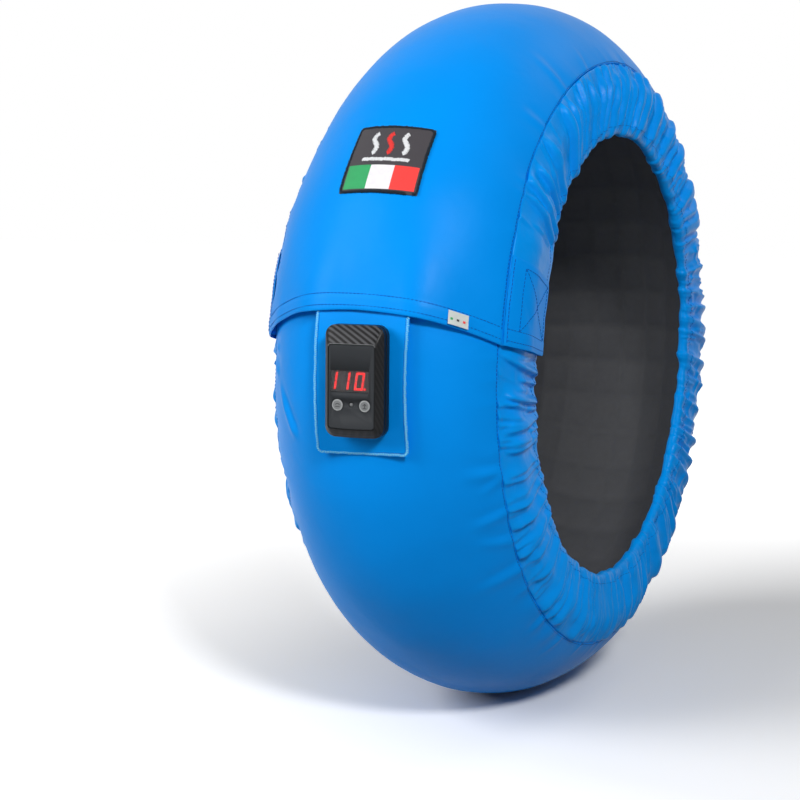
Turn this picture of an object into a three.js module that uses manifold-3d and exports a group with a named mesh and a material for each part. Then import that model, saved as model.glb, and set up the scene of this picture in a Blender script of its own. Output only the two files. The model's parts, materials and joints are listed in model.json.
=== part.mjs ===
// Electric tyre warmer for a 17 inch rear motorcycle wheel, in the shape that it takes on the tyre.
// Millimetres. The wheel's axle runs along X, the control unit faces -Y and +Z is up. The origin is
// the middle of the axle. The warmer is one long strip that is wrapped round the tyre: its outer end,
// the flap, lies over its inner end and is held there by hook-and-loop tape.
// A place on the crown is given by a section angle (0 on top of the tread, positive to the right), a
// ring angle (0 at the front, 90 at the top) and a section radius. All angles are in degrees.
import * as THREE from "three";
import { mergeVertices } from "three/addons/utils/BufferGeometryUtils.js";
import Module from "manifold-3d";

const wasm = await Module();
wasm.setup();

// Driving dimensions of the ring. The flanks lie inside the crown's full circle by flankInset, and the
// hem lies further inside by hemInset.
const outerRadius = 335;
const hemDepth = 126.5;
const crownArcRadius = 125;
const crownHalfAngle = 58;
const flankInset = 7.8;
const shoulderRadius = 35;
const hemInset = 3.2;
const hemLoopRadius = 5;

// Layers of the strip, from the outside in.
const coverThickness = 1;
const insulationThickness = 5;
const heatingTapeThickness = 0.8;
const liningThickness = 0.8;
const layerGap = 0.3;

// The strip's two ends, and the tape that joins them.
const flapEdgeAngle = 10.8;
const innerEndAngle = 28;
const layerSplit = 2;
const flapSettle = 15;
const ridgeFall = 20;
const flapHemWidth = 2.4;
const flapHemRise = 0.5;
const closureTapeThickness = 1.2;
const closureTapeMargin = 2;
const closureMesh = 0.6;
const closureTapeHalfAngle = 43.5;

// Side skirts, gathered by an elastic in the hem.
const skirtThickness = 0.8;
const seamGap = 0.7;
const pleatDepth = 3;
const flatSkirtStart = 22;
const flatSkirtEnd = 21;
const pleatRamp = 9;
const hemDip = 5.4;
const elasticWidth = 5.6;
const elasticThickness = 1.2;

// Corner tabs of the flap.
const tabThickness = 1.2;
const tabReach = 13;
const tabTapeMargin = 1;
const tabLoopDrop = 2.5;

// Patches sewn to the cover.
const podPatchWidth = 86;
const podPatchDrop = 10;
const podPatchThickness = 1;
const labelLeftAngle = -13.4;
const labelRightAngle = 18.2;
const labelFoot = 28;
const labelTop = 39.6;
const labelThickness = 0.9;
const tagLeftAngle = 35.7;
const tagRightAngle = 43.5;
const tagRise = 1.9;
const tagThickness = 0.5;

// Control unit: an outer shell in two halves on a rubber seat.
const podSectionAngle = 4.6;
const podRingAngle = 1.2;
const podWidth = 52;
const podHeight = 92;
const podCornerRadius = 9;
const podDepth = 20;
const podStraightDepth = 13;
const podWall = 2;
const podFaceWall = 1.4;
const backShellDepth = 8;
const gasketThickness = 0.6;
const gasketLip = 0.6;
const faceWidth = 42;
const faceHeight = 70;
const faceCentreY = -4;
const faceCornerRadius = 3;
const overlayMargin = 1;
const overlayThickness = 0.7;
const seatThickness = 1.2;
const seatInset = 3;
const fit = 0.3;

// Display, buttons and indicator.
const windowWidth = 33.4;
const windowHeight = 16.9;
const windowX = -1.5;
const windowY = 0.3;
const windowThickness = 2.2;
const displayMargin = 0.8;
const displayDepth = 7;
const buttonRadius = 4.75;
const buttonClearance = 0.2;
const buttonSpread = 12;
const buttonY = -19.3;
const buttonProud = 0.4;
const buttonFlange = 1;
const buttonFlangeThickness = 1;
const buttonStemRadius = 1.5;
const buttonStemLength = 1.6;
const buttonTravel = 0.6;
const indicatorRadius = 1.5;
const indicatorY = -18.6;

// Circuit board and what stands on it.
const boardWidth = 44;
const boardHeight = 66;
const boardThickness = 1.6;
const boardLevel = 6.2;
const ledgeWidth = 3;
const switchSize = 6;
const switchBodyHeight = 3.5;
const plungerRadius = 1.6;
const relaySize = [15, 9, 8];
const relayAt = [8, 21];
const terminalSize = [18, 7, 6];
const terminalAt = [0, -28.5];

// Fasteners of the control unit.
const bossX = 19;
const bossY = 38;
const bossRadius = 3.5;
const screwRadius = 1.4;
const screwHeadRadius = 2.6;
const screwHeadHeight = 1.4;
const screwLength = 12;
const rivetX = 15;
const rivetY = 18;
const rivetRadius = 1.5;
const rivetHeadRadius = 3;
const rivetHeadHeight = 1;
const backingPlateThickness = 0.8;
const backingPlateHalfAngle = 9.5;
const backingPlateHalfRing = 3.9;

// Wiring between the control unit and the heating tape.
const leadHoleY = 28;
const leadHoleRadius = 4.2;
const heaterLeadRadius = 0.9;
const heaterLeadAt = [2.2, 1.7];
const mainsLeadRadius = 1.5;
const mainsLeadAt = [0, -1.7];
const grooveHalfWidth = 2.4;
const windowHalfAngle = 19;
const windowFoot = -7.5;
const windowHead = 16;
const terminalPadSize = [7, 5, 1.6];
const sensorRadius = 1.5;
const sensorLength = 9;
const sensorAt = [11.5, -5.6];

// Heating tape: four runs round the ring, joined in one meander.
const tapeHalfAngle = 2.8;
const innerRunAngle = 11.5;
const outerRunAngle = 36.2;
const tapeStartAngle = 32;
const tapeLeadEnd = 14;
const tapeCrossEnd = 24;
const crossBarLength = 2;

// Gland of the mains lead, underneath and to the left. Its flange lies on one facet of the cover.
const glandFacet = -9.5;
const glandFlangeRadius = 11;
const glandFlangeThickness = 2;
const glandNeckRadius = 6.5;
const glandNeckLength = 9;
const glandBoreRadius = 3;
const glandHoleDepth = 7.5;
const mainsCrossAngle = 4;

// How finely the round forms are divided.
const ringFacets = 36;
const crownFacets = 8;
const roundSides = 14;
const fastenerSides = 8;

// Values worked out from the ones above.
const fullTurn = 360;
const ringStep = fullTurn / ringFacets;
const sectionStep = (2 * crownHalfAngle) / crownFacets;
const crownCentre = outerRadius - crownArcRadius;
const flankHalfWidth = crownArcRadius - flankInset;
const hemHalfWidth = flankHalfWidth - hemInset;
const hemRadius = outerRadius - hemDepth;
const coverInner = crownArcRadius - coverThickness;
const insulationOuter = coverInner - layerGap;
const insulationInner = insulationOuter - insulationThickness;
const tapeOuter = insulationInner - layerGap;
const tapeInner = tapeOuter - heatingTapeThickness;
const liningOuter = tapeInner - layerGap;
const liningInner = liningOuter - liningThickness;
const closureStack = 2 * (closureTapeThickness + layerGap) + closureMesh;
const flapLift = closureStack + coverThickness;
const innerEnd = fullTurn + innerEndAngle;
const layerStart = innerEndAngle + layerSplit;
const podPatchOuter = crownArcRadius + layerGap + podPatchThickness;
const podPatchHead = flapEdgeAngle + closureTapeMargin;
const closureFoot = podPatchHead + closureTapeMargin;
const closureHead = innerEndAngle - closureTapeMargin;
const podBackRadius = podPatchOuter + 2 * fit + seatThickness;
const podPatchHalfAngle = THREE.MathUtils.radToDeg(Math.atan(podPatchWidth / 2 / crownArcRadius));
const frontShellStart = backShellDepth + gasketThickness + 2 * fit;
const faceInner = podDepth - overlayThickness - fit - podFaceWall;
const boardTop = boardLevel + boardThickness;
const leadRadius = (insulationInner + insulationOuter) / 2;
const tabFoot = flapEdgeAngle;
const tabHead = tabFoot + tabReach;
const ridgeStops = [podSectionAngle - podPatchHalfAngle, podSectionAngle + podPatchHalfAngle];
const glandSection = sectionStep / 2 - crownHalfAngle;
const glandRingAngle = glandFacet * ringStep;
const grooveHalfAngle = THREE.MathUtils.radToDeg(grooveHalfWidth / crownArcRadius);

// Finishes.
function finish(color, roughness, metalness = 0) {
  return new THREE.MeshStandardMaterial({ color, roughness, metalness });
}

const nylon = finish("#0a7fe8", 0.42);
const skirtNylon = finish("#0c86f0", 0.36);
const blackTape = finish("#15161a", 0.9);
const whiteElastic = finish("#d9dde2", 0.85);
const felt = finish("#b9b6ae", 0.95);
const aramid = finish("#34363a", 0.85);
const carbonTape = finish("#1d1e20", 0.6);
const wovenLabel = finish("#26262a", 0.8);
const whiteTag = finish("#e4e6e4", 0.75);
const rubber = finish("#17181a", 0.8);
const blackPlastic = finish("#1c1d20", 0.45);
const facePlastic = finish("#2d2f33", 0.4);
const darkGlass = finish("#24262a", 0.12);
const greyKey = finish("#8f9294", 0.5);
const boardGreen = finish("#1d5b3a", 0.55);
const steel = finish("#b8babd", 0.35, 0.9);
const copperLead = finish("#8c1f1c", 0.6);
const whiteModule = finish("#d5d5d0", 0.6);

const warmer = new THREE.Group();
const pod = new THREE.Group();
const gland = new THREE.Group();

const rad = THREE.MathUtils.degToRad;
const clamp = THREE.MathUtils.clamp;
const lerp = THREE.MathUtils.lerp;
const smooth = (value, from, to) => THREE.MathUtils.smoothstep(value, from, to);

// A point at distance x along the axle and the given radius from it, at a ring angle.
function onCircle(x, radius, ringAngle) {
  return new THREE.Vector3(x, -radius * Math.cos(rad(ringAngle)), radius * Math.sin(rad(ringAngle)));
}

// The same on flat facets. All the layers share these, so that they nest wherever they end.
function onRing(x, radius, ringAngle) {
  const before = Math.floor(ringAngle / ringStep) * ringStep;
  const share = (ringAngle - before) / ringStep;
  return onCircle(x, radius, before).lerp(onCircle(x, radius, before + ringStep), share);
}

// A point on the facets of the crown's section arc.
function onCrown(sectionAngle, ringAngle, radius) {
  const before = Math.floor(sectionAngle / sectionStep) * sectionStep;
  const at = (angle) => new THREE.Vector2(0, radius).rotateAround(new THREE.Vector2(), -rad(angle));
  const across = at(before).lerp(at(before + sectionStep), (sectionAngle - before) / sectionStep);
  return onRing(across.x, crownCentre + across.y, ringAngle);
}

// A point on the control unit's patch. The patch is flat across and touches the crown behind the
// unit, so that it stands off at both sides.
function onPatch(across, ringAngle, radius) {
  const tilt = rad(podSectionAngle);
  const x = radius * Math.sin(tilt) + across * Math.cos(tilt);
  return onRing(x, crownCentre + radius * Math.cos(tilt) - across * Math.sin(tilt), ringAngle);
}

// How far the flap stands off the strip's inner end. It settles onto the insulation past that end.
function liftAt(ringAngle) {
  return flapLift * (1 - smooth(ringAngle, innerEndAngle, innerEndAngle + flapSettle));
}

// The patch's side edges push the flap's edge out into two low ridges.
function ridgeAt(sectionAngle, ringAngle) {
  const away = Math.abs(sectionAngle - podSectionAngle);
  const height = crownArcRadius * (1 - Math.cos(rad(Math.min(away, podPatchHalfAngle))));
  const fall = 1 - clamp((away - podPatchHalfAngle) / ridgeFall, 0, 1);
  return height * fall * (1 - smooth(ringAngle, podPatchHead, closureHead));
}

// A length of flap takes up more of the ring's angle at the sides, where the radius is smaller.
function dipAt(sectionAngle, ringAngle) {
  const radius = crownCentre + crownArcRadius * Math.cos(rad(sectionAngle));
  return Math.max(innerEndAngle - ringAngle, 0) * (outerRadius / radius - 1);
}

// A point on the strip's outer end, which is lifted over the inner end.
function onFlap(sectionAngle, ringAngle, radius) {
  const lifted = radius + liftAt(ringAngle) + ridgeAt(sectionAngle, ringAngle);
  return onCrown(sectionAngle, ringAngle - dipAt(sectionAngle, ringAngle), lifted);
}

// The given limits and every whole multiple of the step between them, with any extra stops that
// aren't next to one of these.
function stops(from, to, step, extra = []) {
  const nearest = step / 40;
  const found = [from, to];
  for (let k = Math.ceil((from + nearest) / step); k * step < to - nearest; k += 1) {
    found.push(k * step);
  }
  const added = extra.filter((v) => v > from && v < to && found.every((f) => Math.abs(f - v) > nearest));
  return [...found, ...added].sort((a, b) => a - b);
}

const ringStops = (from, to, extra) => stops(from, to, ringStep, extra);
const sectionStops = (from, to, extra) => stops(from, to, sectionStep, extra);
const flapStops = (from, to, extra) => stops(from, to, ringStep / 2, extra);
const countTo = (n) => Array.from({ length: n + 1 }, (_, i) => i);

// A block divided at the given stops and bent: every corner (u, v, w) of its grid goes to place(u, v, w).
function bentBlock(us, vs, ws, place) {
  const [nu, nv, nw] = [us.length - 1, vs.length - 1, ws.length - 1];
  const block = new THREE.BoxGeometry(nu, nv, nw, nu, nv, nw);
  const position = block.getAttribute("position");
  for (let i = 0; i < position.count; i += 1) {
    const u = us[Math.round(position.getX(i) + nu / 2)];
    const v = vs[Math.round(position.getY(i) + nv / 2)];
    const w = ws[Math.round(position.getZ(i) + nw / 2)];
    position.setXYZ(i, ...place(u, v, w).toArray());
  }
  // The inner face is split along the same diagonals as the outer one, so that bent layers nest.
  const { start, count } = block.groups.at(-1);
  for (let i = start; i < start + count; i += 6) {
    const [a, b, d, , c] = block.index.array.slice(i, i + 6);
    block.index.array.set([a, b, c, a, c, d], i);
  }
  return block;
}

// A closed geometry as a solid for cuts and joins, and a solid as a geometry.
function solid(geometry) {
  const bare = geometry.clone();
  bare.deleteAttribute("normal");
  bare.deleteAttribute("uv");
  const merged = mergeVertices(bare, 1e-4);
  return new wasm.Manifold(
    new wasm.Mesh({
      numProp: 3,
      vertProperties: new Float32Array(merged.getAttribute("position").array),
      triVerts: new Uint32Array(merged.index.array),
    }),
  );
}

function geometryOf(made) {
  const found = made.getMesh();
  const geometry = new THREE.BufferGeometry();
  geometry.setAttribute("position", new THREE.BufferAttribute(found.vertProperties, 3));
  geometry.setIndex(new THREE.BufferAttribute(found.triVerts, 1));
  geometry.computeVertexNormals();
  return geometry;
}

const cut = (first, ...tools) => tools.reduce((kept, tool) => kept.subtract(tool), first);
const join = (first, ...others) => others.reduce((whole, other) => whole.add(other), first);

function addPiece(name, shape, material, parent = warmer) {
  const piece = new THREE.Mesh(shape.isBufferGeometry ? shape : geometryOf(shape), material);
  piece.name = name;
  parent.add(piece);
  return piece;
}

// A round bar along the pod's Z, from one level to another.
function bar(radius, from, to, x = 0, y = 0, sides = roundSides) {
  const cylinder = new THREE.CylinderGeometry(radius, radius, to - from, sides);
  return cylinder.rotateX(Math.PI / 2).translate(x, y, (from + to) / 2);
}

// A solid of revolution about the Z of its group, from a profile of radii and levels.
function turned(profile, sides, x, y) {
  const points = profile.map(([radius, level]) => new THREE.Vector2(radius, level));
  return new THREE.LatheGeometry(points, sides).rotateX(Math.PI / 2).translate(x, y, 0);
}

function box(width, height, from, to, x = 0, y = 0) {
  return new THREE.BoxGeometry(width, height, to - from).translate(x, y, (from + to) / 2);
}

// The corners of a rounded rectangle at a level, counter-clockwise.
function roundedOutline(width, height, radius, level, centreY = 0) {
  const arcSteps = 3;
  const points = [];
  for (const [sx, sy, start] of [[1, -1, -90], [1, 1, 0], [-1, 1, 90], [-1, -1, 180]]) {
    const cx = sx * (width / 2 - radius);
    const cy = centreY + sy * (height / 2 - radius);
    for (let k = 0; k <= arcSteps; k += 1) {
      const angle = rad(start + (90 * k) / arcSteps);
      points.push(new THREE.Vector3(cx + radius * Math.cos(angle), cy + radius * Math.sin(angle), level));
    }
  }
  return points;
}

// A closed body through convex outlines that lie above each other.
function loft(outlines) {
  const count = outlines[0].length;
  const index = [];
  for (let level = 0; level + 1 < outlines.length; level += 1) {
    for (let i = 0; i < count; i += 1) {
      const [a, b] = [level * count + i, level * count + ((i + 1) % count)];
      index.push(a, b, b + count, a, b + count, a + count);
    }
  }
  const top = (outlines.length - 1) * count;
  for (let i = 1; i + 1 < count; i += 1) {
    index.push(0, i + 1, i, top, top + i, top + i + 1);
  }
  const geometry = new THREE.BufferGeometry().setFromPoints(outlines.flat());
  geometry.setIndex(index);
  geometry.computeVertexNormals();
  return geometry;
}

// A smooth route that is divided between its chosen points, so that it is fine where these lie close.
class Route extends THREE.CatmullRomCurve3 {
  getUtoTmapping(share) {
    return share;
  }
}

// A round lead along a route, with two steps for each of its points.
function lead(points, radius) {
  const sides = 6;
  const corners = countTo(sides - 1).map(
    (k) => new THREE.Vector2(radius, 0).rotateAround(new THREE.Vector2(), (2 * Math.PI * k) / sides),
  );
  const extrudePath = new Route(points, false, "centripetal");
  const steps = 2 * (points.length - 1);
  return new THREE.ExtrudeGeometry(new THREE.Shape(corners), { steps, bevelEnabled: false, extrudePath });
}

// Stands a group square on the strip: its Z is the outward normal there, and its Y runs up the ring.
function standOn(group, sectionAngle, ringAngle, origin) {
  const outward = onCircle(Math.sin(rad(sectionAngle)), Math.cos(rad(sectionAngle)), ringAngle);
  const up = onCircle(0, 1, ringAngle + 90);
  const across = new THREE.Vector3().crossVectors(up, outward);
  group.quaternion.setFromRotationMatrix(new THREE.Matrix4().makeBasis(across, up, outward));
  group.position.copy(origin);
  group.updateMatrix();
  warmer.add(group);
}

const inRing = (geometry, group = pod) => solid(geometry.clone().applyMatrix4(group.matrix));
const inPod = (geometry) => solid(geometry.clone().applyMatrix4(pod.matrix.clone().invert()));
const podPoint = (x, y, z) => new THREE.Vector3(x, y, z).applyMatrix4(pod.matrix);

const belowPod = -30;
const leadHole = () => bar(leadHoleRadius, belowPod, podDepth / 2, 0, leadHoleY);
const rivetPlaces = [[-1, -1], [1, -1], [-1, 1], [1, 1]].map(([sx, sy]) => [sx * rivetX, sy * rivetY]);
const rivetHoles = () =>
  rivetPlaces.map(([x, y]) => bar(rivetRadius + fit, belowPod, podDepth / 2, x, y, fastenerSides));
const glandHole = () => bar(glandBoreRadius, -glandHoleDepth, glandFlangeThickness);

// Outer cover: one strip of coated nylon from the flap's edge right round to the end beneath it.
function addCover() {
  const hemEnd = flapEdgeAngle + flapHemWidth;
  const along = ringStops(flapEdgeAngle, innerEnd, [
    hemEnd,
    hemEnd + layerGap,
    ...flapStops(closureFoot, closureHead),
    innerEndAngle,
    labelTop,
  ]);
  const across = sectionStops(-crownHalfAngle, crownHalfAngle, ridgeStops);
  const cover = bentBlock(across, along, [coverInner, crownArcRadius], (section, ring, radius) => {
    const hem = ring <= hemEnd && radius === crownArcRadius ? flapHemRise : 0;
    return onFlap(section, ring, radius + hem);
  });
  const holes = [leadHole(), ...rivetHoles()].map((hole) => inRing(hole));
  addPiece("outer_cover", cut(solid(cover), ...holes, inRing(glandHole(), gland)), nylon);
}

// A curved block inside the strip, to be cut from the insulation.
function hollow(sections, rings) {
  const radii = [tapeInner, crownArcRadius];
  return solid(bentBlock(sectionStops(...sections), ringStops(...rings), radii, onCrown));
}

// Insulation: one felt layer, with a window for the wiring under the control unit and a groove
// for the mains lead.
function addInsulation() {
  const felts = bentBlock(
    sectionStops(-crownHalfAngle, crownHalfAngle),
    ringStops(layerStart, innerEnd),
    [insulationInner, insulationOuter],
    onCrown,
  );
  const turn = (from, to) => [from + fullTurn, to + fullTurn];
  const ringHalf = THREE.MathUtils.radToDeg(grooveHalfWidth / outerRadius);
  const wiringWindow = hollow([-windowHalfAngle, windowHalfAngle], turn(windowFoot, windowHead));
  const grooveAcross = [glandSection - grooveHalfAngle, glandSection + grooveHalfAngle];
  const longGroove = hollow(grooveAcross, turn(glandRingAngle - ringHalf, mainsCrossAngle + ringHalf));
  const crossGroove = hollow(
    [glandSection, -windowHalfAngle],
    turn(mainsCrossAngle - ringHalf, mainsCrossAngle + ringHalf),
  );
  const corner = hollow(
    [glandSection - 2 * grooveHalfAngle, glandSection + 2 * grooveHalfAngle],
    turn(mainsCrossAngle - 2 * ringHalf, mainsCrossAngle + 2 * ringHalf),
  );
  const hollows = [wiringWindow, longGroove, crossGroove, corner, inRing(glandHole(), gland)];
  addPiece("insulation_felt", cut(solid(felts), ...hollows), felt);
}

// Inner lining: the aramid cloth that lies on the tyre.
function addLining() {
  const across = sectionStops(-crownHalfAngle, crownHalfAngle);
  const lining = bentBlock(across, ringStops(layerStart, innerEnd), [liningInner, liningOuter], onCrown);
  addPiece("inner_lining", lining, aramid);
}

// Heating tape: both ends lie in the wiring window, and the meander covers the whole tread.
function addHeatingTape() {
  const radii = [tapeInner, tapeOuter];
  const strip = (sections, rings) =>
    solid(bentBlock(sectionStops(...sections), ringStops(...rings), radii, onCrown));
  const run = (section, end) =>
    strip([section - tapeHalfAngle, section + tapeHalfAngle], [tapeStartAngle, fullTurn + end]);
  const crossBar = (from, to, ringAngle) => strip([from, to], [ringAngle, ringAngle + crossBarLength]);
  const outer = outerRunAngle + tapeHalfAngle;
  const inner = innerRunAngle - tapeHalfAngle;
  const meander = join(
    run(-innerRunAngle, tapeLeadEnd),
    run(innerRunAngle, tapeLeadEnd),
    run(-outerRunAngle, tapeCrossEnd),
    run(outerRunAngle, tapeCrossEnd),
    crossBar(-outer, -inner, tapeStartAngle),
    crossBar(inner, outer, tapeStartAngle),
    crossBar(-outer, outer, fullTurn + tapeCrossEnd - crossBarLength),
  );
  addPiece("heating_tape", meander, carbonTape);
}

// Hook-and-loop tape between the flap and the strip's inner end.
function addClosure() {
  const across = sectionStops(-closureTapeHalfAngle, closureTapeHalfAngle, ridgeStops);
  const loopInner = crownArcRadius + layerGap;
  const loopLevels = [loopInner, loopInner + closureTapeThickness];
  const loop = bentBlock(across, ringStops(closureFoot, closureHead), loopLevels, onCrown);
  const hookOuter = coverInner - layerGap;
  const hookLevels = [hookOuter - closureTapeThickness, hookOuter];
  const hook = bentBlock(across, flapStops(closureFoot, closureHead), hookLevels, onFlap);
  addPiece("closure_loop_tape", loop, blackTape);
  addPiece("closure_hook_tape", hook, blackTape);
}

// The skirt's outline from the side seam over the flank to the hem, as X and radius.
function skirtOutline() {
  const shoulderX = flankHalfWidth - shoulderRadius;
  const reach = crownArcRadius - shoulderRadius;
  const shoulderR = crownCentre + Math.sqrt(reach * reach - shoulderX * shoulderX);
  const meeting = Math.atan2(shoulderR - crownCentre, shoulderX);
  const start = rad(90 - crownHalfAngle) - seamGap / crownArcRadius;
  const path = new THREE.Path();
  path.absarc(0, crownCentre, crownArcRadius, start, Math.max(meeting, 0), true);
  path.absarc(shoulderX, shoulderR, shoulderRadius, meeting, 0, true);
  const loopX = hemHalfWidth - hemLoopRadius;
  const loopR = hemRadius + hemLoopRadius;
  path.lineTo(hemHalfWidth, loopR);
  path.absarc(loopX, loopR, hemLoopRadius, 0, -Math.PI, true);
  return path;
}

const flankSteps = 3;
const hemLoopSteps = 2;
const outline = (() => {
  const path = skirtOutline();
  const flankShare = 1 - (Math.PI * hemLoopRadius) / path.getLength();
  return countTo(flankSteps + hemLoopSteps).map((i) => {
    const onLoop = Math.max(i - flankSteps, 0) / hemLoopSteps;
    const down = Math.min(i / flankSteps, 1);
    const share = lerp(flankShare * down, 1, onLoop);
    const tangent = path.getTangentAt(share);
    return { point: path.getPointAt(share), normal: new THREE.Vector2(-tangent.y, tangent.x), down };
  });
})();

// A point at a depth outside the flank's outline, on the right (side 1) or the left (side -1). The
// outer end is lifted and hangs as the flap does.
function onFlank(step, ringAngle, depth, side, outward = 0) {
  const { point, normal, down } = outline[step];
  const seamDip = dipAt(crownHalfAngle, ringAngle);
  const atHem = (hemDip * Math.max(innerEndAngle - ringAngle, 0)) / (innerEndAngle - flapEdgeAngle);
  const reach = depth + liftAt(ringAngle);
  const x = side * (point.x + normal.x * reach + outward);
  return onRing(x, point.y + normal.y * reach, ringAngle - lerp(seamDip, atHem, down));
}

const alongSide = (side, list) => (side > 0 ? list : [...list].reverse());

// A skirt: gathered into pleats of uneven depth, and flat at the two ends, which overlap.
function addSkirt(name, side) {
  const tabEnds = [tabFoot, tabFoot + tabTapeMargin, tabHead - tabTapeMargin, tabHead];
  const places = alongSide(side, flapStops(flapEdgeAngle, innerEnd, [innerEndAngle, ...tabEnds]));
  const rows = countTo(flankSteps + hemLoopSteps);
  const skirt = bentBlock(rows, places, [-skirtThickness, 0], (step, ring, depth) => {
    const fromStart = clamp((ring - flapEdgeAngle - flatSkirtStart) / pleatRamp, 0, 1);
    const fromEnd = clamp((innerEnd - ring - flatSkirtEnd) / pleatRamp, 0, 1);
    const k = Math.round((2 * ring) / ringStep);
    const uneven = 0.75 + 0.25 * Math.sin(2.4 * k);
    const wave = (k % 2 === 0 ? -1 : 1) * pleatDepth * fromStart * fromEnd * uneven;
    return onFlank(step, ring, depth, side, wave * Math.sin(Math.PI * outline[step].down));
  });
  addPiece(name, skirt, skirtNylon);
}

// The elastic that draws the hem in. It lies loose in the hem's turned edge.
function addElastic(name, side) {
  const middleX = side * (hemHalfWidth - hemLoopRadius);
  const middleR = hemRadius + hemLoopRadius;
  const across = [middleX - elasticWidth / 2, middleX + elasticWidth / 2];
  const along = ringStops(innerEndAngle + flapSettle, innerEnd);
  const thick = [middleR - elasticThickness / 2, middleR + elasticThickness / 2];
  const band = bentBlock(across, along, thick, (x, ring, radius) => onRing(x, radius, ring));
  addPiece(name, band, whiteElastic);
}

// One layer at a corner of the flap, between two ring angles and from one depth to another.
function tabLayer(side, from, to, depths) {
  const places = alongSide(side, flapStops(from, to));
  const place = (step, ring, depth) => onFlank(step, ring, depth, side);
  return bentBlock(countTo(flankSteps), places, depths, place);
}

// A corner tab: the flap's corner, stitched in a crossed box and held down by its own tape.
function addCornerTab(sideName, side) {
  const hookOuter = -skirtThickness - layerGap;
  const hookDepths = [hookOuter - closureTapeThickness, hookOuter];
  const loopDepths = [layerGap, layerGap + closureTapeThickness];
  const loopFoot = fullTurn + flapEdgeAngle - tabLoopDrop;
  const loop = tabLayer(side, loopFoot, loopFoot + tabReach - 2 * tabTapeMargin, loopDepths);
  const hook = tabLayer(side, tabFoot + tabTapeMargin, tabHead - tabTapeMargin, hookDepths);
  const cloth = tabLayer(side, tabFoot, tabHead, [layerGap, layerGap + tabThickness]);
  addPiece("tab_loop_" + sideName, loop, blackTape);
  addPiece("tab_hook_" + sideName, hook, blackTape);
  addPiece("corner_tab_" + sideName, cloth, nylon);
}

// Sewn-on patches: the control unit's carrier, the woven label and the tag on the flap's hem.
function addPatches() {
  const edges = [-podPatchWidth / 2, podPatchWidth / 2];
  const along = ringStops(-podPatchDrop, podPatchHead);
  const patch = bentBlock(edges, along, [crownArcRadius + layerGap, podPatchOuter], onPatch);
  const holes = [leadHole(), ...rivetHoles()].map((hole) => inRing(hole));
  addPiece("pod_patch", cut(solid(patch), ...holes), nylon);

  const onCover = crownArcRadius + layerGap;
  const label = bentBlock(
    sectionStops(labelLeftAngle, labelRightAngle),
    ringStops(labelFoot, labelTop),
    [onCover, onCover + labelThickness],
    onFlap,
  );
  addPiece("woven_label", label, wovenLabel);

  const tagFoot = flapEdgeAngle + layerGap;
  const onHem = onCover + flapHemRise;
  const tag = bentBlock(
    sectionStops(tagLeftAngle, tagRightAngle),
    [tagFoot, tagFoot + tagRise],
    [onHem, onHem + tagThickness],
    onFlap,
  );
  addPiece("hem_tag", tag, whiteTag);
}

// Rubber seat: flat against the control unit and hollowed to the curve of the patch.
function addSeat() {
  const width = podWidth - 2 * seatInset;
  const height = podHeight - 2 * seatInset;
  const corner = podCornerRadius - seatInset;
  const blank = loft([
    roundedOutline(width, height, corner, belowPod / 2),
    roundedOutline(width, height, corner, -fit),
  ]);
  const under = bentBlock(
    [-podWidth, podWidth],
    ringStops(-podPatchDrop - ringStep, podPatchHead + ringStep),
    [0, podPatchOuter + fit],
    onPatch,
  );
  const holes = [leadHole(), ...rivetHoles()].map((hole) => solid(hole));
  addPiece("pod_seat", cut(solid(blank), inPod(under), ...holes), rubber, pod);
}

const bossPlaces = [[-1, -1], [1, -1], [-1, 1], [1, 1]].map(([sx, sy]) => [sx * bossX, sy * bossY]);
function podOutline(inset, level) {
  return roundedOutline(podWidth - 2 * inset, podHeight - 2 * inset, podCornerRadius - inset, level);
}

function faceOutline(inset, level) {
  const corner = faceCornerRadius - inset / 2;
  return roundedOutline(faceWidth - 2 * inset, faceHeight - 2 * inset, corner, level, faceCentreY);
}

// Rear shell: a tray with ledges for the board and a boss at each corner.
function addBackShell() {
  const tray = solid(loft([podOutline(0, 0), podOutline(0, backShellDepth)]));
  const cavity = solid(loft([podOutline(podWall, podWall), podOutline(podWall, backShellDepth + 1)]));
  const ledgeTop = boardLevel - fit;
  const ledgeX = podWidth / 2 - podWall - ledgeWidth / 2 + fit;
  const ledges = [-1, 1].map((side) =>
    solid(box(ledgeWidth, boardHeight, podWall / 2, ledgeTop, side * ledgeX)),
  );
  const bosses = bossPlaces.map(([x, y]) => solid(bar(bossRadius, podWall / 2, backShellDepth, x, y)));
  const shafts = bossPlaces.map(([x, y]) => solid(bar(screwRadius + fit, -1, podDepth, x, y)));
  const recesses = bossPlaces.map(([x, y]) =>
    solid(bar(screwHeadRadius + fit, -1, screwHeadHeight + 2 * fit, x, y)),
  );
  const holes = [leadHole(), ...rivetHoles()].map((hole) => solid(hole));
  const shell = cut(join(cut(tray, cavity), ...ledges, ...bosses), ...shafts, ...recesses, ...holes);
  addPiece("pod_back_shell", shell, blackPlastic, pod);
}

function addGasket() {
  const from = backShellDepth + fit;
  const blank = solid(loft([podOutline(gasketLip, from), podOutline(gasketLip, from + gasketThickness)]));
  const middle = solid(loft([podOutline(podWall, 0), podOutline(podWall, podDepth)]));
  addPiece("pod_gasket", cut(blank, middle), rubber, pod);
}

const buttonPlaces = [["left", -buttonSpread], ["right", buttonSpread]];
const faceCut = [podStraightDepth - 1, podDepth + 1];
const faceHoles = () => [
  ...buttonPlaces.map(([, x]) => solid(bar(buttonRadius + buttonClearance, ...faceCut, x, buttonY))),
  solid(bar(indicatorRadius + fit, ...faceCut, 0, indicatorY)),
  solid(box(windowWidth + 2 * fit, windowHeight + 2 * fit, ...faceCut, windowX, windowY)),
];

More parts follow.
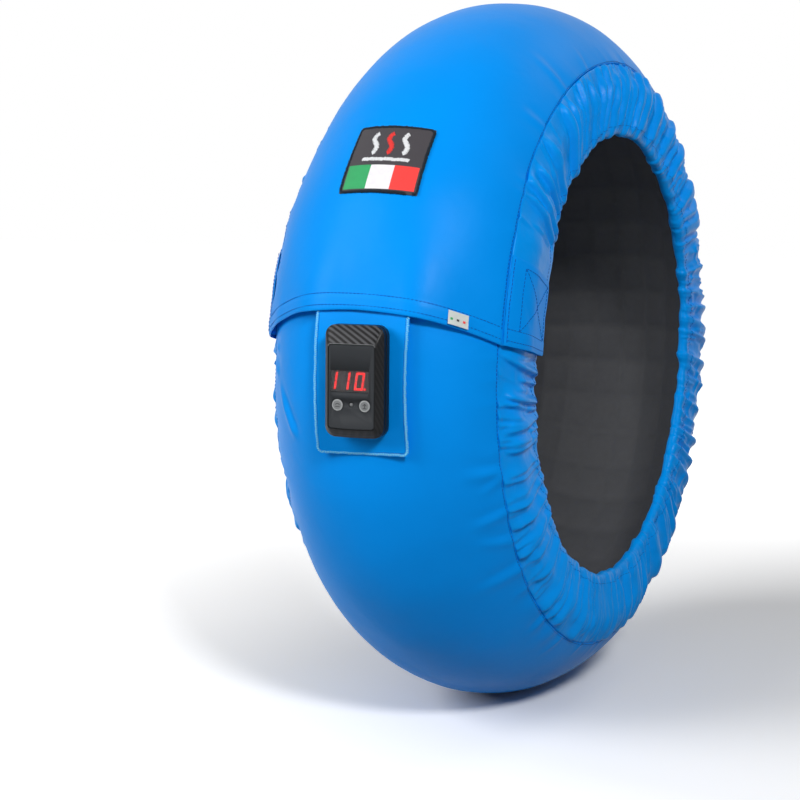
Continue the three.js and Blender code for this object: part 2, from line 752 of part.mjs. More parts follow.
// Front shell: straight sides, then bevels up to the flat face, which has a recess for the overlay.
function addFrontShell() {
  const outer = solid(
    loft([podOutline(0, frontShellStart), podOutline(0, podStraightDepth), faceOutline(0, podDepth)]),
  );
  const cavity = solid(
    loft([
      podOutline(podWall, frontShellStart - 1),
      podOutline(podWall, podStraightDepth - podWall / 2),
      faceOutline(podWall, faceInner),
    ]),
  );
  const posts = bossPlaces.map(([x, y]) => {
    const post = solid(bar(bossRadius, frontShellStart, podDepth - podWall, x, y));
    return cut(post, solid(bar(screwRadius + fit, 0, screwLength + 2 * fit, x, y))).intersect(outer);
  });
  const seatOutline = (level) => faceOutline(overlayMargin - fit, level);
  const recess = solid(loft([seatOutline(podDepth - overlayThickness - fit), seatOutline(podDepth + 1)]));
  const shell = cut(join(cut(outer, cavity), ...posts), recess, ...faceHoles());
  addPiece("pod_front_shell", shell, blackPlastic, pod);
}

function addOverlay() {
  const plate = solid(
    loft([faceOutline(overlayMargin, podDepth - overlayThickness), faceOutline(overlayMargin, podDepth)]),
  );
  addPiece("pod_overlay", cut(plate, ...faceHoles()), facePlastic, pod);
}

function addDisplay() {
  const pane = box(windowWidth, windowHeight, podDepth - windowThickness, podDepth, windowX, windowY);
  addPiece("display_window", pane, darkGlass, pod);
  const width = windowWidth + 2 * displayMargin;
  const height = windowHeight + 2 * displayMargin;
  const from = boardTop + fit;
  const module = box(width, height, from, from + displayDepth, windowX, windowY);
  addPiece("display_module", module, whiteModule, pod);
}

// A push button: a cap with a flange that holds it in the shell, and a stem over its switch.
function addButton(name, x) {
  const capFoot = faceInner - fit;
  const flangeFoot = capFoot - buttonFlangeThickness;
  const profile = [
    [0, flangeFoot - buttonStemLength],
    [buttonStemRadius, flangeFoot - buttonStemLength],
    [buttonStemRadius, flangeFoot],
    [buttonRadius + buttonFlange, flangeFoot],
    [buttonRadius + buttonFlange, capFoot],
    [buttonRadius, capFoot],
    [buttonRadius, podDepth],
    [buttonRadius - buttonProud, podDepth + buttonProud],
    [0, podDepth + buttonProud],
  ];
  addPiece("button_" + name, turned(profile, roundSides, x, buttonY), greyKey, pod);
}

// A tactile switch under a button. Its plunger leaves the button's travel free.
function addSwitch(name, x) {
  const from = boardTop + fit;
  const stemFoot = faceInner - fit - buttonFlangeThickness - buttonStemLength;
  const body = solid(box(switchSize, switchSize, from, from + switchBodyHeight, x, buttonY));
  const plunger = solid(bar(plungerRadius, from + 1, stemFoot - buttonTravel - fit, x, buttonY));
  addPiece("switch_" + name, join(body, plunger), blackPlastic, pod);
}

function addBoard() {
  const board = solid(box(boardWidth, boardHeight, boardLevel, boardTop));
  addPiece("circuit_board", board, boardGreen, pod);
  const from = boardTop + fit;
  const onBoard = ([width, height, depth], at) => box(width, height, from, from + depth, ...at);
  addPiece("indicator_light", bar(indicatorRadius, from, podDepth - fit, 0, indicatorY), darkGlass, pod);
  addPiece("power_relay", onBoard(relaySize, relayAt), blackPlastic, pod);
  addPiece("terminal_block", onBoard(terminalSize, terminalAt), whiteModule, pod);
}

// Screws come in from the back and hold both shells together.
function addScrews() {
  const profile = [
    [0, fit],
    [screwHeadRadius, fit],
    [screwHeadRadius, fit + screwHeadHeight],
    [screwRadius, fit + screwHeadHeight],
    [screwRadius, screwLength],
    [0, screwLength],
  ];
  bossPlaces.forEach(([x, y], i) => {
    addPiece("shell_screw_" + (i + 1), turned(profile, fastenerSides, x, y), steel, pod);
  });
}

// A curved plate behind the cover, and rivets that clamp the control unit to it through the cloth.
function addRivets() {
  const plateOuter = coverInner - layerGap;
  const plate = bentBlock(
    sectionStops(podSectionAngle - backingPlateHalfAngle, podSectionAngle + backingPlateHalfAngle),
    ringStops(podRingAngle - backingPlateHalfRing, podRingAngle + backingPlateHalfRing),
    [plateOuter - backingPlateThickness, plateOuter],
    onCrown,
  );
  const holes = rivetHoles().map((hole) => inRing(hole));
  addPiece("backing_plate", cut(solid(plate), ...holes), steel);
  const headFoot = podWall + fit;
  rivetPlaces.forEach(([x, y], i) => {
    const footprint = solid(bar(rivetHeadRadius, belowPod, 0, x, y));
    const tailTop = inPod(plate).intersect(footprint).boundingBox().min[2] - fit;
    const profile = [
      [0, tailTop - rivetHeadHeight],
      [rivetHeadRadius, tailTop - rivetHeadHeight],
      [rivetHeadRadius, tailTop],
      [rivetRadius, tailTop],
      [rivetRadius, headFoot],
      [rivetHeadRadius, headFoot],
      [rivetHeadRadius, headFoot + rivetHeadHeight],
      [0, headFoot + rivetHeadHeight],
    ];
    addPiece("pod_rivet_" + (i + 1), turned(profile, fastenerSides, x, y), steel, pod);
  });
}

// Leads from the board through the hole under the unit to the heating tape, with the sensor beside them.
function addHeaterWiring() {
  const padFrom = tapeOuter + fit;
  const ring = tapeLeadEnd - terminalPadSize[1] / 4;
  const halfSection = THREE.MathUtils.radToDeg(terminalPadSize[0] / 2 / crownArcRadius);
  const halfRing = THREE.MathUtils.radToDeg(terminalPadSize[1] / 2 / outerRadius);
  [["left", -1], ["right", 1]].forEach(([name, side]) => {
    const section = side * innerRunAngle;
    const pad = bentBlock(
      sectionStops(section - halfSection, section + halfSection),
      [ring - halfRing, ring + halfRing],
      [padFrom, padFrom + terminalPadSize[2]],
      onCrown,
    );
    addPiece("heater_terminal_" + name, pad, steel);
    const [offset, above] = [side * heaterLeadAt[0], leadHoleY + heaterLeadAt[1]];
    const end = ring - halfRing - 0.1;
    const points = [
      podPoint(offset, above, boardLevel - fit),
      podPoint(offset, above, 0),
      podPoint(offset, above, -5),
      podPoint(offset, above + 0.6, -7.8),
      onCrown(lerp(podSectionAngle + side, section, 0.3), lerp(podRingAngle, end, 0.62), leadRadius),
      onCrown(section, lerp(podRingAngle, end, 0.85), leadRadius - 1),
      onCrown(section, end, padFrom + terminalPadSize[2] / 2),
    ];
    addPiece("heater_lead_" + name, lead(points, heaterLeadRadius), copperLead);
  });
  const [section, sensorRing] = sensorAt;
  const bulb = new THREE.CapsuleGeometry(sensorRadius, sensorLength - 2 * sensorRadius, 2, 8);
  const seat = onCrown(section, sensorRing, tapeOuter + 2 * fit + sensorRadius);
  addPiece("temperature_sensor", bulb.rotateZ(Math.PI / 2).translate(seat.x, seat.y, seat.z), steel);
}

// Gland where the mains lead leaves the strip.
function addGland() {
  const from = fit;
  const neckTop = from + glandFlangeThickness + glandNeckLength;
  const profile = [
    [glandBoreRadius, from],
    [glandFlangeRadius, from],
    [glandFlangeRadius, from + glandFlangeThickness],
    [glandNeckRadius, from + glandFlangeThickness],
    [glandNeckRadius, neckTop],
    [glandBoreRadius, neckTop],
    [glandBoreRadius, from],
  ];
  addPiece("mains_gland", turned(profile, roundSides, 0, 0), rubber, gland);
}

// Mains lead inside the strip, from the gland along its groove to the board.
function addMainsLead() {
  const glandPoint = (z) => new THREE.Vector3(0, 0, z).applyMatrix4(gland.matrix);
  const groove = stops(glandRingAngle + 3, mainsCrossAngle - 3, ringStep).map((ring) =>
    onCrown(glandSection, ring, leadRadius),
  );
  const [offset, above] = [mainsLeadAt[0], leadHoleY + mainsLeadAt[1]];
  const points = [
    glandPoint(glandFlangeThickness),
    glandPoint(0),
    glandPoint(-1.8),
    onCrown(glandSection, glandRingAngle + 0.45, leadRadius),
    onCrown(glandSection, glandRingAngle + 1.1, leadRadius),
    ...groove,
    onCrown(glandSection, mainsCrossAngle - 1, leadRadius),
    onCrown(glandSection + 0.3, mainsCrossAngle - 0.2, leadRadius),
    onCrown(glandSection + 2, mainsCrossAngle, leadRadius),
    ...[-43, -36, -29, -22].map((section) => onCrown(section, mainsCrossAngle, leadRadius)),
    onCrown(-14.5, mainsCrossAngle + 0.4, leadRadius - 0.5),
    onCrown(-7, mainsCrossAngle + 1.1, leadRadius - 0.5),
    podPoint(offset - 5, above, -9),
    podPoint(offset, above, -6),
    podPoint(offset, above, boardLevel - fit),
  ];
  addPiece("mains_lead_inner", lead(points, mainsLeadRadius), rubber);
}

standOn(pod, podSectionAngle, podRingAngle, onPatch(0, podRingAngle, podBackRadius));
standOn(gland, glandSection, glandRingAngle, onCrown(glandSection, glandRingAngle, crownArcRadius));
addCover();
addInsulation();
addLining();
addHeatingTape();
addClosure();
[["left", -1], ["right", 1]].forEach(([name, side]) => {
  addSkirt("skirt_" + name, side);
  addElastic("hem_elastic_" + name, side);
  addCornerTab(name, side);
});
addPatches();
addSeat();
addBackShell();
addGasket();
addFrontShell();
addOverlay();
addDisplay();
buttonPlaces.forEach(([name, x]) => {
  addButton(name, x);
  addSwitch(name, x);
});
addBoard();
addScrews();
addRivets();
addHeaterWiring();
addGland();
addMainsLead();

export default warmer;
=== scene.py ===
"""Looks of an electric motorcycle tyre warmer: sewn cover, gathered skirts and control unit.

Metres and degrees. The wheel's axle runs along X, the control unit faces -Y and +Z is up. A place on
the crown has a section angle (0 on top of the tread, positive to the right), a ring angle (0 at the
front, 90 at the top) and a section radius.
"""
import json
import math

import bpy
import numpy as np
from bpy.props import FloatProperty, FloatVectorProperty, IntProperty, PointerProperty
from mathutils import Matrix, Vector


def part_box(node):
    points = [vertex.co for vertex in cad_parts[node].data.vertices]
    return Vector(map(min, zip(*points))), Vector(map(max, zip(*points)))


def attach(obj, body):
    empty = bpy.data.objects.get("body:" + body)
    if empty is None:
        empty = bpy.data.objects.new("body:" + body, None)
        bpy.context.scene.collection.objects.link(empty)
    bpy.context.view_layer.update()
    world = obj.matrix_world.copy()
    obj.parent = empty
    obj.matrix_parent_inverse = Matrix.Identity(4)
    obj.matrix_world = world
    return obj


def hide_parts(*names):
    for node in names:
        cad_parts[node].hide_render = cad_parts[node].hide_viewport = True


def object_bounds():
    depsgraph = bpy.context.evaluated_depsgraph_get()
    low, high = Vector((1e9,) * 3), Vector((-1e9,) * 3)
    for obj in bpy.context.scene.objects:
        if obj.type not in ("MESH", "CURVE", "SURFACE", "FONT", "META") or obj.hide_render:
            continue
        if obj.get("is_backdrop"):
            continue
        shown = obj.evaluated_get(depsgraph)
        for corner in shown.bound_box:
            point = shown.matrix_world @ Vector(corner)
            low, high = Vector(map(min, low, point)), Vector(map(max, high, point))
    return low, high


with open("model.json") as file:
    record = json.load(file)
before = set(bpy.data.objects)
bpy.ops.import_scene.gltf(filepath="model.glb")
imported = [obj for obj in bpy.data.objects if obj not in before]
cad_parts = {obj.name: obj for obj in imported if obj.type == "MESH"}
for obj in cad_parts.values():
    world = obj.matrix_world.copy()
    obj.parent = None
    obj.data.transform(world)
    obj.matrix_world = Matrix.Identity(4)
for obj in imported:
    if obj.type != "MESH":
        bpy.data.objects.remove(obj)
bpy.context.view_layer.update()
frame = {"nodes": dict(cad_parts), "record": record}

bl_info = {
    "name": "Motorcycle Tyre Warmer",
    "version": (1, 0, 0),
    "blender": (4, 5, 0),
    "location": "View3D > Sidebar > Tyre Warmer",
    "description": "Sews the cover, skirts, patches and control unit of a motorcycle tyre warmer",
    "category": "Object",
}

MM = 0.001

# Ring and strip, as in the frame.
OUTER_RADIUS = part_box("outer_cover")[1].z
CROWN_RADIUS = 125 * MM
CROWN_HALF_ANGLE = 58.0
FLANK_HALF_WIDTH = CROWN_RADIUS - 7.8 * MM
SHOULDER_RADIUS = 35 * MM
HEM_RADIUS = OUTER_RADIUS - 126.5 * MM
HEM_HALF_WIDTH = FLANK_HALF_WIDTH - 3.2 * MM
HEM_LOOP_RADIUS = 5 * MM
CROWN_CENTRE = OUTER_RADIUS - CROWN_RADIUS
COVER_THICKNESS = 1 * MM
LAYER_GAP = 0.3 * MM
SEAM_GAP = 0.7 * MM
SKIRT_THICKNESS = 0.8 * MM
FLAP_EDGE = 10.8
INNER_END = 28.0
STRIP_END = 360 + INNER_END
LAYER_START = 30.0
FLAP_LIFT = 4.6 * MM
FLAP_SETTLE = 15.0
FLAP_HEM = 2.4
RIDGE_FALL = 20.0
RIDGE_SOFTNESS = (-4.5, -3, -1.5, 0, 1.5, 3, 4.5)
HEM_DIP = 5.4
TAPE_HALF_ANGLE = 43.5
TAPE_FOOT = 14.8
TAPE_HEAD = 26.0
TAPE_THICKNESS = 1.2 * MM

# Control unit and its patch, as in the frame.
POD_SECTION = 4.6
POD_RING = 1.2
POD_SIZE = (52 * MM, 92 * MM)
POD_CORNER = 9 * MM
POD_DEPTH = 20 * MM
POD_STRAIGHT = 13 * MM
BACK_SHELL_DEPTH = 8 * MM
FRONT_SHELL_START = 9.2 * MM
FACE_SIZE = (42 * MM, 70 * MM)
FACE_CENTRE_Y = -4 * MM
FACE_CORNER = 3 * MM
OVERLAY_MARGIN = 1 * MM
OVERLAY_THICKNESS = 0.7 * MM
BUTTON_RADIUS = 4.75 * MM
BUTTON_X = 12 * MM
BUTTON_Y = -19.3 * MM
BUTTON_PROUD = 0.4 * MM
KEY_SIDES = 48
INDICATOR_Y = -18.6 * MM
WINDOW_SIZE = (33.4 * MM, 16.9 * MM)
WINDOW_CENTRE = (-1.5 * MM, 0.3 * MM)
PATCH_WIDTH = 86 * MM
PATCH_FOOT = -10.0
PATCH_HEAD = 12.8
PATCH_TRIM = 3 * MM
PATCH_LIFT = 0.35
PATCH_INNER = CROWN_RADIUS + LAYER_GAP
PATCH_OUTER = PATCH_INNER + 1 * MM
PATCH_HALF_ANGLE = math.degrees(math.atan(PATCH_WIDTH / 2 / CROWN_RADIUS))
SEAT_INSET = 3 * MM

# Label and tag on the flap.
LABEL_SECTIONS = (-13.4, 18.2)
LABEL_RINGS = (28.0, 39.6)
LABEL_THICKNESS = 0.9 * MM
LABEL_FLAT = (69 * MM, 68 * MM)
LABEL_MARGIN = 0.045
LABEL_BAND_TOP = 0.385
LABEL_CORNER = 0.05
TAG_SECTIONS = (35.7, 43.5)
TAG_RINGS = (11.1, 13.0)

# Corner tabs.
TAB_FOOT = FLAP_EDGE
TAB_HEAD = FLAP_EDGE + 13
TAB_THICKNESS = 1.2 * MM

# Skirts: the radius at which their folds are spaced, and the rows turned in at the seam.
FOLD_RADIUS = 245 * MM
FOLD_LIMIT = 4.6 * MM
FOLD_MEAN = 1.6
SKIRT_MARGIN = (5.4 * MM, 3.6 * MM, 1.2 * MM)
FLANK_MIDDLE_RADIUS = 270 * MM
GATHERS_START = (FLAP_EDGE + 14.5, FLAP_EDGE + 20)
GATHERS_END = (361, 369)

# Layers inside the strip, as section radii.
BLANKET_RADII = (118.9 * MM, 123.4 * MM)
LINING_RADII = (116.5 * MM, 117.3 * MM)
HEATER_RADII = (117.7 * MM, 118.4 * MM)
HEATER_HALF_ANGLE = 2.8
INSIDE_HALF_ANGLE = CROWN_HALF_ANGLE - 0.3

# Studio.
FLOOR_SIZE = 8.0
FLOOR_TONE = 0.35
SEEN_FLOOR_TONE = 1.2
SHADOW_CENTRE = (0.28, 0.12)
SHADOW_REACH = (0.35, 1.25)
FLOOR_GLOW = 0.9
WORLD_LIGHT = 0.1
CAMERA_AIM = (-0.10824, -0.04979)
CAMERA_LENS = 84.15
SENSOR_WIDTH = 36

SIDES = {"left": -1, "right": 1}
GATHER_SEEDS = {-1: 50, 1: 20}
SCALLOP_SEEDS = {-1: 90, 1: 80}


class WarmerColours(bpy.types.PropertyGroup):
    """Colours of the cloth, threads and plastics."""

    def shade(name, description, colour):
        return FloatVectorProperty(
            name=name, description=description, subtype="COLOR", size=3, min=0, max=1, default=colour
        )

    cover: shade("Cover", "Coated nylon of the crown, the patch and the tabs", (0.0, 0.285, 0.88))
    skirt: shade("Skirt", "Thinner nylon of the gathered skirts", (0.0, 0.3, 0.88))
    thread: shade("Thread", "Dark sewing thread of the seams", (0.0, 0.07, 0.4))
    overlock: shade("Overlock", "Pale thread round the patch's edge", (0.3, 0.78, 0.95))
    lining: shade("Lining", "Heat-proof cloth that lies on the tyre", (0.026, 0.027, 0.03))
    shell: shade("Shell", "Moulded plastic of the control unit", (0.004, 0.0045, 0.0055))
    face: shade("Face", "Matt film on the control unit's face", (0.025, 0.028, 0.032))
    digit: shade("Digits", "Light of the seven-segment display", (1.0, 0.012, 0.01))


class WarmerSewing(bpy.types.PropertyGroup):
    """Sizes of the folds and stitches."""

    gather_pitch: FloatProperty(
        name="Gather pitch", description="Mean distance between two gathers of a skirt",
        default=22 * MM, min=8 * MM, max=60 * MM, unit="LENGTH",
    )
    gather_depth: FloatProperty(
        name="Gather depth", description="Height of the skirt's folds",
        default=7.2 * MM, min=0, max=12 * MM, unit="LENGTH",
    )
    pucker_depth: FloatProperty(
        name="Pucker depth", description="Height of the crown's puckers beside the seams",
        default=1.9 * MM, min=0, max=3 * MM, unit="LENGTH",
    )
    stitch_pitch: FloatProperty(
        name="Stitch pitch", description="Distance from one stitch to the next",
        default=3.4 * MM, min=1.5 * MM, max=8 * MM, unit="LENGTH",
    )
    thread_radius: FloatProperty(
        name="Thread radius", description="Half the thickness of the sewing thread",
        default=0.28 * MM, min=0.1 * MM, max=0.8 * MM, unit="LENGTH",
    )
    seed: IntProperty(name="Seed", description="Picks one arrangement of the folds", default=11, min=0)


class WarmerStudio(bpy.types.PropertyGroup):
    """Lights and camera."""

    key_power: FloatProperty(
        name="Key light", description="Power of the large soft light on the left",
        default=54, min=0, unit="POWER",
    )
    side_power: FloatProperty(
        name="Side light", description="Power of the soft light on the right",
        default=56, min=0, unit="POWER",
    )
    rim_power: FloatProperty(
        name="Rim light", description="Power of the light behind and above",
        default=5, min=0, unit="POWER",
    )
    azimuth: FloatProperty(
        name="Camera azimuth", description="Angle of the camera round the object",
        default=math.radians(23.0), unit="ROTATION",
    )
    elevation: FloatProperty(
        name="Camera elevation", description="Angle of the camera above the axle",
        default=math.radians(5.85), unit="ROTATION",
    )
    distance: FloatProperty(
        name="Camera distance", description="From the camera to the middle of the axle",
        default=1.845, min=0.5, unit="LENGTH",
    )


def colours():
    return bpy.context.scene.warmer_colours


def sewing():
    return bpy.context.scene.warmer_sewing


# Places on the strip

def mix(a, b, share):
    """The value at a share of the way from a to b."""
    return a + (b - a) * share


def smooth(value, start, end):
    """Rises from 0 at the start to 1 at the end, with a soft foot and head."""
    share = np.clip((value - start) / (end - start), 0, 1)
    return share * share * (3 - 2 * share)


def arc_length(angle, radius):
    return angle * math.radians(1) * radius


def on_ring(x, radius, ring):
    """Points at a distance x along the axle and a radius from it, at a ring angle."""
    x, radius, angle = np.broadcast_arrays(x, radius, np.radians(ring))
    return np.stack([x, -radius * np.cos(angle), radius * np.sin(angle)], axis=-1)


def on_crown(section, ring, radius):
    """A place on the crown's round section, which the flap's lift doesn't change."""
    angle = np.radians(section)
    return on_ring(radius * np.sin(angle), CROWN_CENTRE + radius * np.cos(angle), ring)


def lift_at(ring):
    """How far the flap stands off the strip's inner end."""
    return FLAP_LIFT * (1 - smooth(ring, INNER_END, INNER_END + FLAP_SETTLE))


def ridge_at(section, ring):
    """The two low, soft ridges where the flap passes over the patch's side edges."""
    total = 0.0
    for shift in RIDGE_SOFTNESS:
        away = np.abs(section + shift - POD_SECTION)
        height = CROWN_RADIUS * (1 - np.cos(np.radians(np.minimum(away, PATCH_HALF_ANGLE))))
        fall = 1 - np.clip((away - PATCH_HALF_ANGLE) / RIDGE_FALL, 0, 1)
        total = total + height * fall / len(RIDGE_SOFTNESS)
    return total * (1 - smooth(ring, PATCH_HEAD, TAPE_HEAD))


def dip_at(section, ring):
    """A length of flap takes up more of the ring's angle at the sides."""
    radius = CROWN_CENTRE + CROWN_RADIUS * np.cos(np.radians(section))
    return np.maximum(INNER_END - ring, 0) * (OUTER_RADIUS / radius - 1)


def on_flap(section, ring, radius):
    """A place on the cover: like the crown, but lifted where the strip overlaps itself."""
    lifted = radius + lift_at(ring) + ridge_at(section, ring)
    return on_crown(section, ring - dip_at(section, ring), lifted)


def crown_flat(section, ring):
    """Flat cloth coordinates of the crown: along the strip and across it."""
    return arc_length(ring, OUTER_RADIUS), arc_length(section, CROWN_RADIUS)


def on_patch(across, ring, radius):
    """The patch is flat across, and touches the crown behind the control unit."""
    tilt = math.radians(POD_SECTION)
    x = radius * math.sin(tilt) + across * math.cos(tilt)
    return on_ring(x, CROWN_CENTRE + radius * math.cos(tilt) - across * math.sin(tilt), ring)


def flank_profile():
    """The skirt's outline, from the seam to the end of the hem's loop.

    Gives the lengths along it, its points and normals as (x, radius), and the length down to the hem.
    """
    shoulder_x = FLANK_HALF_WIDTH - SHOULDER_RADIUS
    rise = math.sqrt((CROWN_RADIUS - SHOULDER_RADIUS) ** 2 - shoulder_x ** 2)
    meeting = math.atan2(rise, shoulder_x)
    start = math.radians(90 - CROWN_HALF_ANGLE) - SEAM_GAP / CROWN_RADIUS
    loop_r = HEM_RADIUS + HEM_LOOP_RADIUS

    def arc(x, radius, size, first, last, steps):
        angle = np.linspace(first, last, steps)
        return np.stack([x + size * np.cos(angle), radius + size * np.sin(angle)], axis=-1)

    crown = arc(0, CROWN_CENTRE, CROWN_RADIUS, start, meeting, 20)
    shoulder = arc(shoulder_x, CROWN_CENTRE + rise, SHOULDER_RADIUS, meeting, 0, 40)
    share = np.linspace(0, 1, 40)[1:, None]
    line = mix(shoulder[-1], np.array([HEM_HALF_WIDTH, loop_r]), share)
    loop = arc(HEM_HALF_WIDTH - HEM_LOOP_RADIUS, loop_r, HEM_LOOP_RADIUS, 0, -1.25 * math.pi, 40)
    flank = np.concatenate([crown[:-1], shoulder, line])
    points = np.concatenate([flank, loop[1:]])
    step = np.gradient(points, axis=0)
    step /= np.linalg.norm(step, axis=1, keepdims=True)
    lengths = np.concatenate([[0], np.cumsum(np.linalg.norm(np.diff(points, axis=0), axis=1))])
    return lengths, points, np.stack([-step[:, 1], step[:, 0]], axis=-1), lengths[len(flank) - 1]


PROFILE_LENGTHS, PROFILE_POINTS, PROFILE_NORMALS, FLANK_LENGTH = flank_profile()


def on_flank(length, ring, depth, side):
    """A point at a depth outside the flank. The length is measured down from the seam."""
    length = np.asarray(length, float)
    columns = (PROFILE_POINTS[:, 0], PROFILE_POINTS[:, 1], PROFILE_NORMALS[:, 0], PROFILE_NORMALS[:, 1])
    x, radius, normal_x, normal_r = [np.interp(length, PROFILE_LENGTHS, column) for column in columns]
    down = np.clip(length / FLANK_LENGTH, 0, 1)
    at_hem = HEM_DIP * np.maximum(INNER_END - ring, 0) / (INNER_END - FLAP_EDGE)
    dip = mix(dip_at(CROWN_HALF_ANGLE, ring), at_hem, down)
    reach = depth + lift_at(ring)
    return on_ring(side * (x + normal_x * reach), radius + normal_r * reach, ring - dip)


def cloth_noise(u, v, seed):
    """Smooth noise from 0 to 1 over a lattice of seeded values."""
    lattice = np.random.default_rng(seed).random((257, 67))
    u, v = np.broadcast_arrays(np.asarray(u, float), np.asarray(v, float))
    low_u = np.floor(u).astype(int)
    low_v = np.floor(v).astype(int)
    share_u = smooth(u - low_u, 0, 1)
    share_v = smooth(v - low_v, 0, 1)

    def value(i, j):
        return lattice[(low_u + i) % 257, (low_v + j) % 67]

    near = mix(value(0, 0), value(1, 0), share_u)
    far = mix(value(0, 1), value(1, 1), share_u)
    return mix(near, far, share_v)


def fold_lines(u, v, seed, sharpness=2.0):
    """Crests from 0 to 1 along the lines where the noise passes its middle."""
    return (1 - np.abs(2 * cloth_noise(u, v, seed) - 1)) ** sharpness


# Meshes

def make_object(name, mesh, material, body="warmer"):
    """Puts a mesh in the scene with one material or several, on a body of the frame."""
    made = bpy.data.objects.new(name, mesh)
    bpy.context.scene.collection.objects.link(made)
    for one in material if isinstance(material, (list, tuple)) else [material]:
        mesh.materials.append(one)
    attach(made, body)
    return made


def shade_smooth(mesh, angle=None):
    mesh.polygons.foreach_set("use_smooth", [True] * len(mesh.polygons))
    if angle is not None:
        mesh.set_sharp_from_angle(angle=math.radians(angle))


def mesh_of(name, points, faces, angle=None):
    mesh = bpy.data.meshes.new(name)
    mesh.from_pydata(np.asarray(points, float).reshape(-1, 3).tolist(), [], [list(f) for f in faces])
    mesh.validate()
    shade_smooth(mesh, angle)
    return mesh


def grid_faces(rows, columns, wrap_columns=False, flip=False):
    """Quads of a grid whose points run along the columns first."""
    i = np.arange(rows - 1)[:, None]
    j = np.arange(columns if wrap_columns else columns - 1)[None, :]
    next_i = i + 1
    next_j = (j + 1) % columns
    corners = [i * columns + j, i * columns + next_j, next_i * columns + next_j, next_i * columns + j]
    faces = np.stack([np.broadcast_to(c, (i.size, j.size)).ravel() for c in corners], axis=-1)
    return faces[:, ::-1] if flip else faces


def set_uv(mesh, u, v):
    """Flat cloth coordinates in metres, for the weave."""
    layer = mesh.uv_layers.new(name="Cloth")
    vertex = np.zeros(len(mesh.loops), int)
    mesh.loops.foreach_get("vertex_index", vertex)
    flat = np.stack([np.ravel(u)[vertex], np.ravel(v)[vertex]], axis=-1)
    layer.data.foreach_set("uv", flat.astype(np.float32).ravel())


def sheet_object(name, points, u, v, material, flip=False):
    """One layer of cloth from a grid of points, with its flat coordinates."""
    rows, columns = points.shape[:2]
    mesh = mesh_of(name, points, grid_faces(rows, columns, flip=flip))
    set_uv(mesh, np.broadcast_to(u, (rows, columns)), np.broadcast_to(v, (rows, columns)))
    return make_object(name, mesh, material)


def slab_points(outer, inner):
    """The points and faces of a closed slab between two grids of the same size."""
    rows, columns = outer.shape[:2]
    count = rows * columns
    faces = [grid_faces(rows, columns), grid_faces(rows, columns, flip=True) + count]
    index = np.arange(count).reshape(rows, columns)
    around = np.concatenate([index[0, :-1], index[:-1, -1], index[-1, :0:-1], index[:0:-1, 0]])
    after = np.roll(around, -1)
    faces.append(np.stack([around, around + count, after + count, after], axis=-1))
    points = np.concatenate([outer.reshape(-1, 3), inner.reshape(-1, 3)])
    return points, np.concatenate(faces)


def slab_object(name, outer, inner, u, v, material, angle=40):
    """A closed slab of cloth or tape, with flat coordinates."""
    points, faces = slab_points(outer, inner)
    mesh = mesh_of(name, points, faces, angle)
    flat_u = np.broadcast_to(u, outer.shape[:2]).ravel()
    flat_v = np.broadcast_to(v, outer.shape[:2]).ravel()
    set_uv(mesh, np.tile(flat_u, 2), np.tile(flat_v, 2))
    return make_object(name, mesh, material)


def loft_mesh(name, outlines, angle=35, capped=True):
    """A body through outlines that have the same count of points, closed at both ends if capped."""
    outlines = np.asarray(outlines, float)
    levels, count = outlines.shape[:2]
    faces = [list(face) for face in grid_faces(levels, count, wrap_columns=True)]
    if capped:
        faces.append(list(range(count))[::-1])
        faces.append(list(range((levels - 1) * count, levels * count)))
    return mesh_of(name, outlines, faces, angle)


def rounded_outline(width, height, corner, level, centre_y=0.0, steps=10, bow=0.0):
    """A rounded rectangle at a level. With bow, its lower edge bulges downwards in the middle."""
    points = []
    for side_x, side_y, start in ((1, -1, -90), (1, 1, 0), (-1, 1, 90), (-1, -1, 180)):
        angle = np.radians(start + np.linspace(0, 90, steps + 1))
        x = side_x * (width / 2 - corner) + corner * np.cos(angle)
        y = centre_y + side_y * (height / 2 - corner) + corner * np.sin(angle)
        points.append(np.stack([x, y, np.full_like(x, level)], axis=-1))
    bottom = np.linspace(points[3][-1], points[0][0], steps + 1)[1:-1]
    outline = np.concatenate([*points, bottom])
    below = np.clip((centre_y - outline[:, 1]) / (height / 2), 0, 1) ** 8
    outline[:, 1] -= bow * below * (1 - (2 * outline[:, 0] / width) ** 2)
    return outline


def pod_axes():
    """The control unit's directions across, up the ring and outward."""
    tilt = math.radians(POD_SECTION)
    outward = Vector(on_ring(math.sin(tilt), math.cos(tilt), POD_RING))
    up = Vector(on_ring(0.0, 1.0, POD_RING + 90))
    return up.cross(outward), up, outward


def pod_matrix():
    """The control unit's own axes: X across, Y up the ring and Z outward, from the middle of its back."""
    across, up, outward = pod_axes()
    mount = next(m for m in frame["record"]["mounts"] if m["name"] == "control_face")
    origin = Vector(mount["pos_m"]) - up * 20 * MM - outward * POD_DEPTH
    matrix = Matrix((across, up, outward)).transposed().to_4x4()
    matrix.translation = origin
    return matrix


POD = pod_matrix()


def pod_object(name, mesh, material, body="warmer"):
    """A piece whose mesh is made in the control unit's own axes."""
    mesh.transform(POD)
    return make_object(name, mesh, material, body)


def finished(made, slot, *nodes):
    """Hides the frame's nodes that a piece stands for, and gives the piece back; its slot is not used."""
    if nodes:
        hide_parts(*nodes)
    return made


# Threads

SPINDLE_ALONG = np.array([-0.5, -0.36, 0.0, 0.36, 0.5])
SPINDLE_THICK = np.array([0.35, 0.85, 1.0, 0.85, 0.35])
SPINDLE_RISE = np.array([-0.9, 0.1, 0.45, 0.1, -0.9])
SPINDLE_SIDES = 6
STITCH_SHARE = 0.82


def unit(vectors):
    return vectors / np.linalg.norm(vectors, axis=1, keepdims=True)


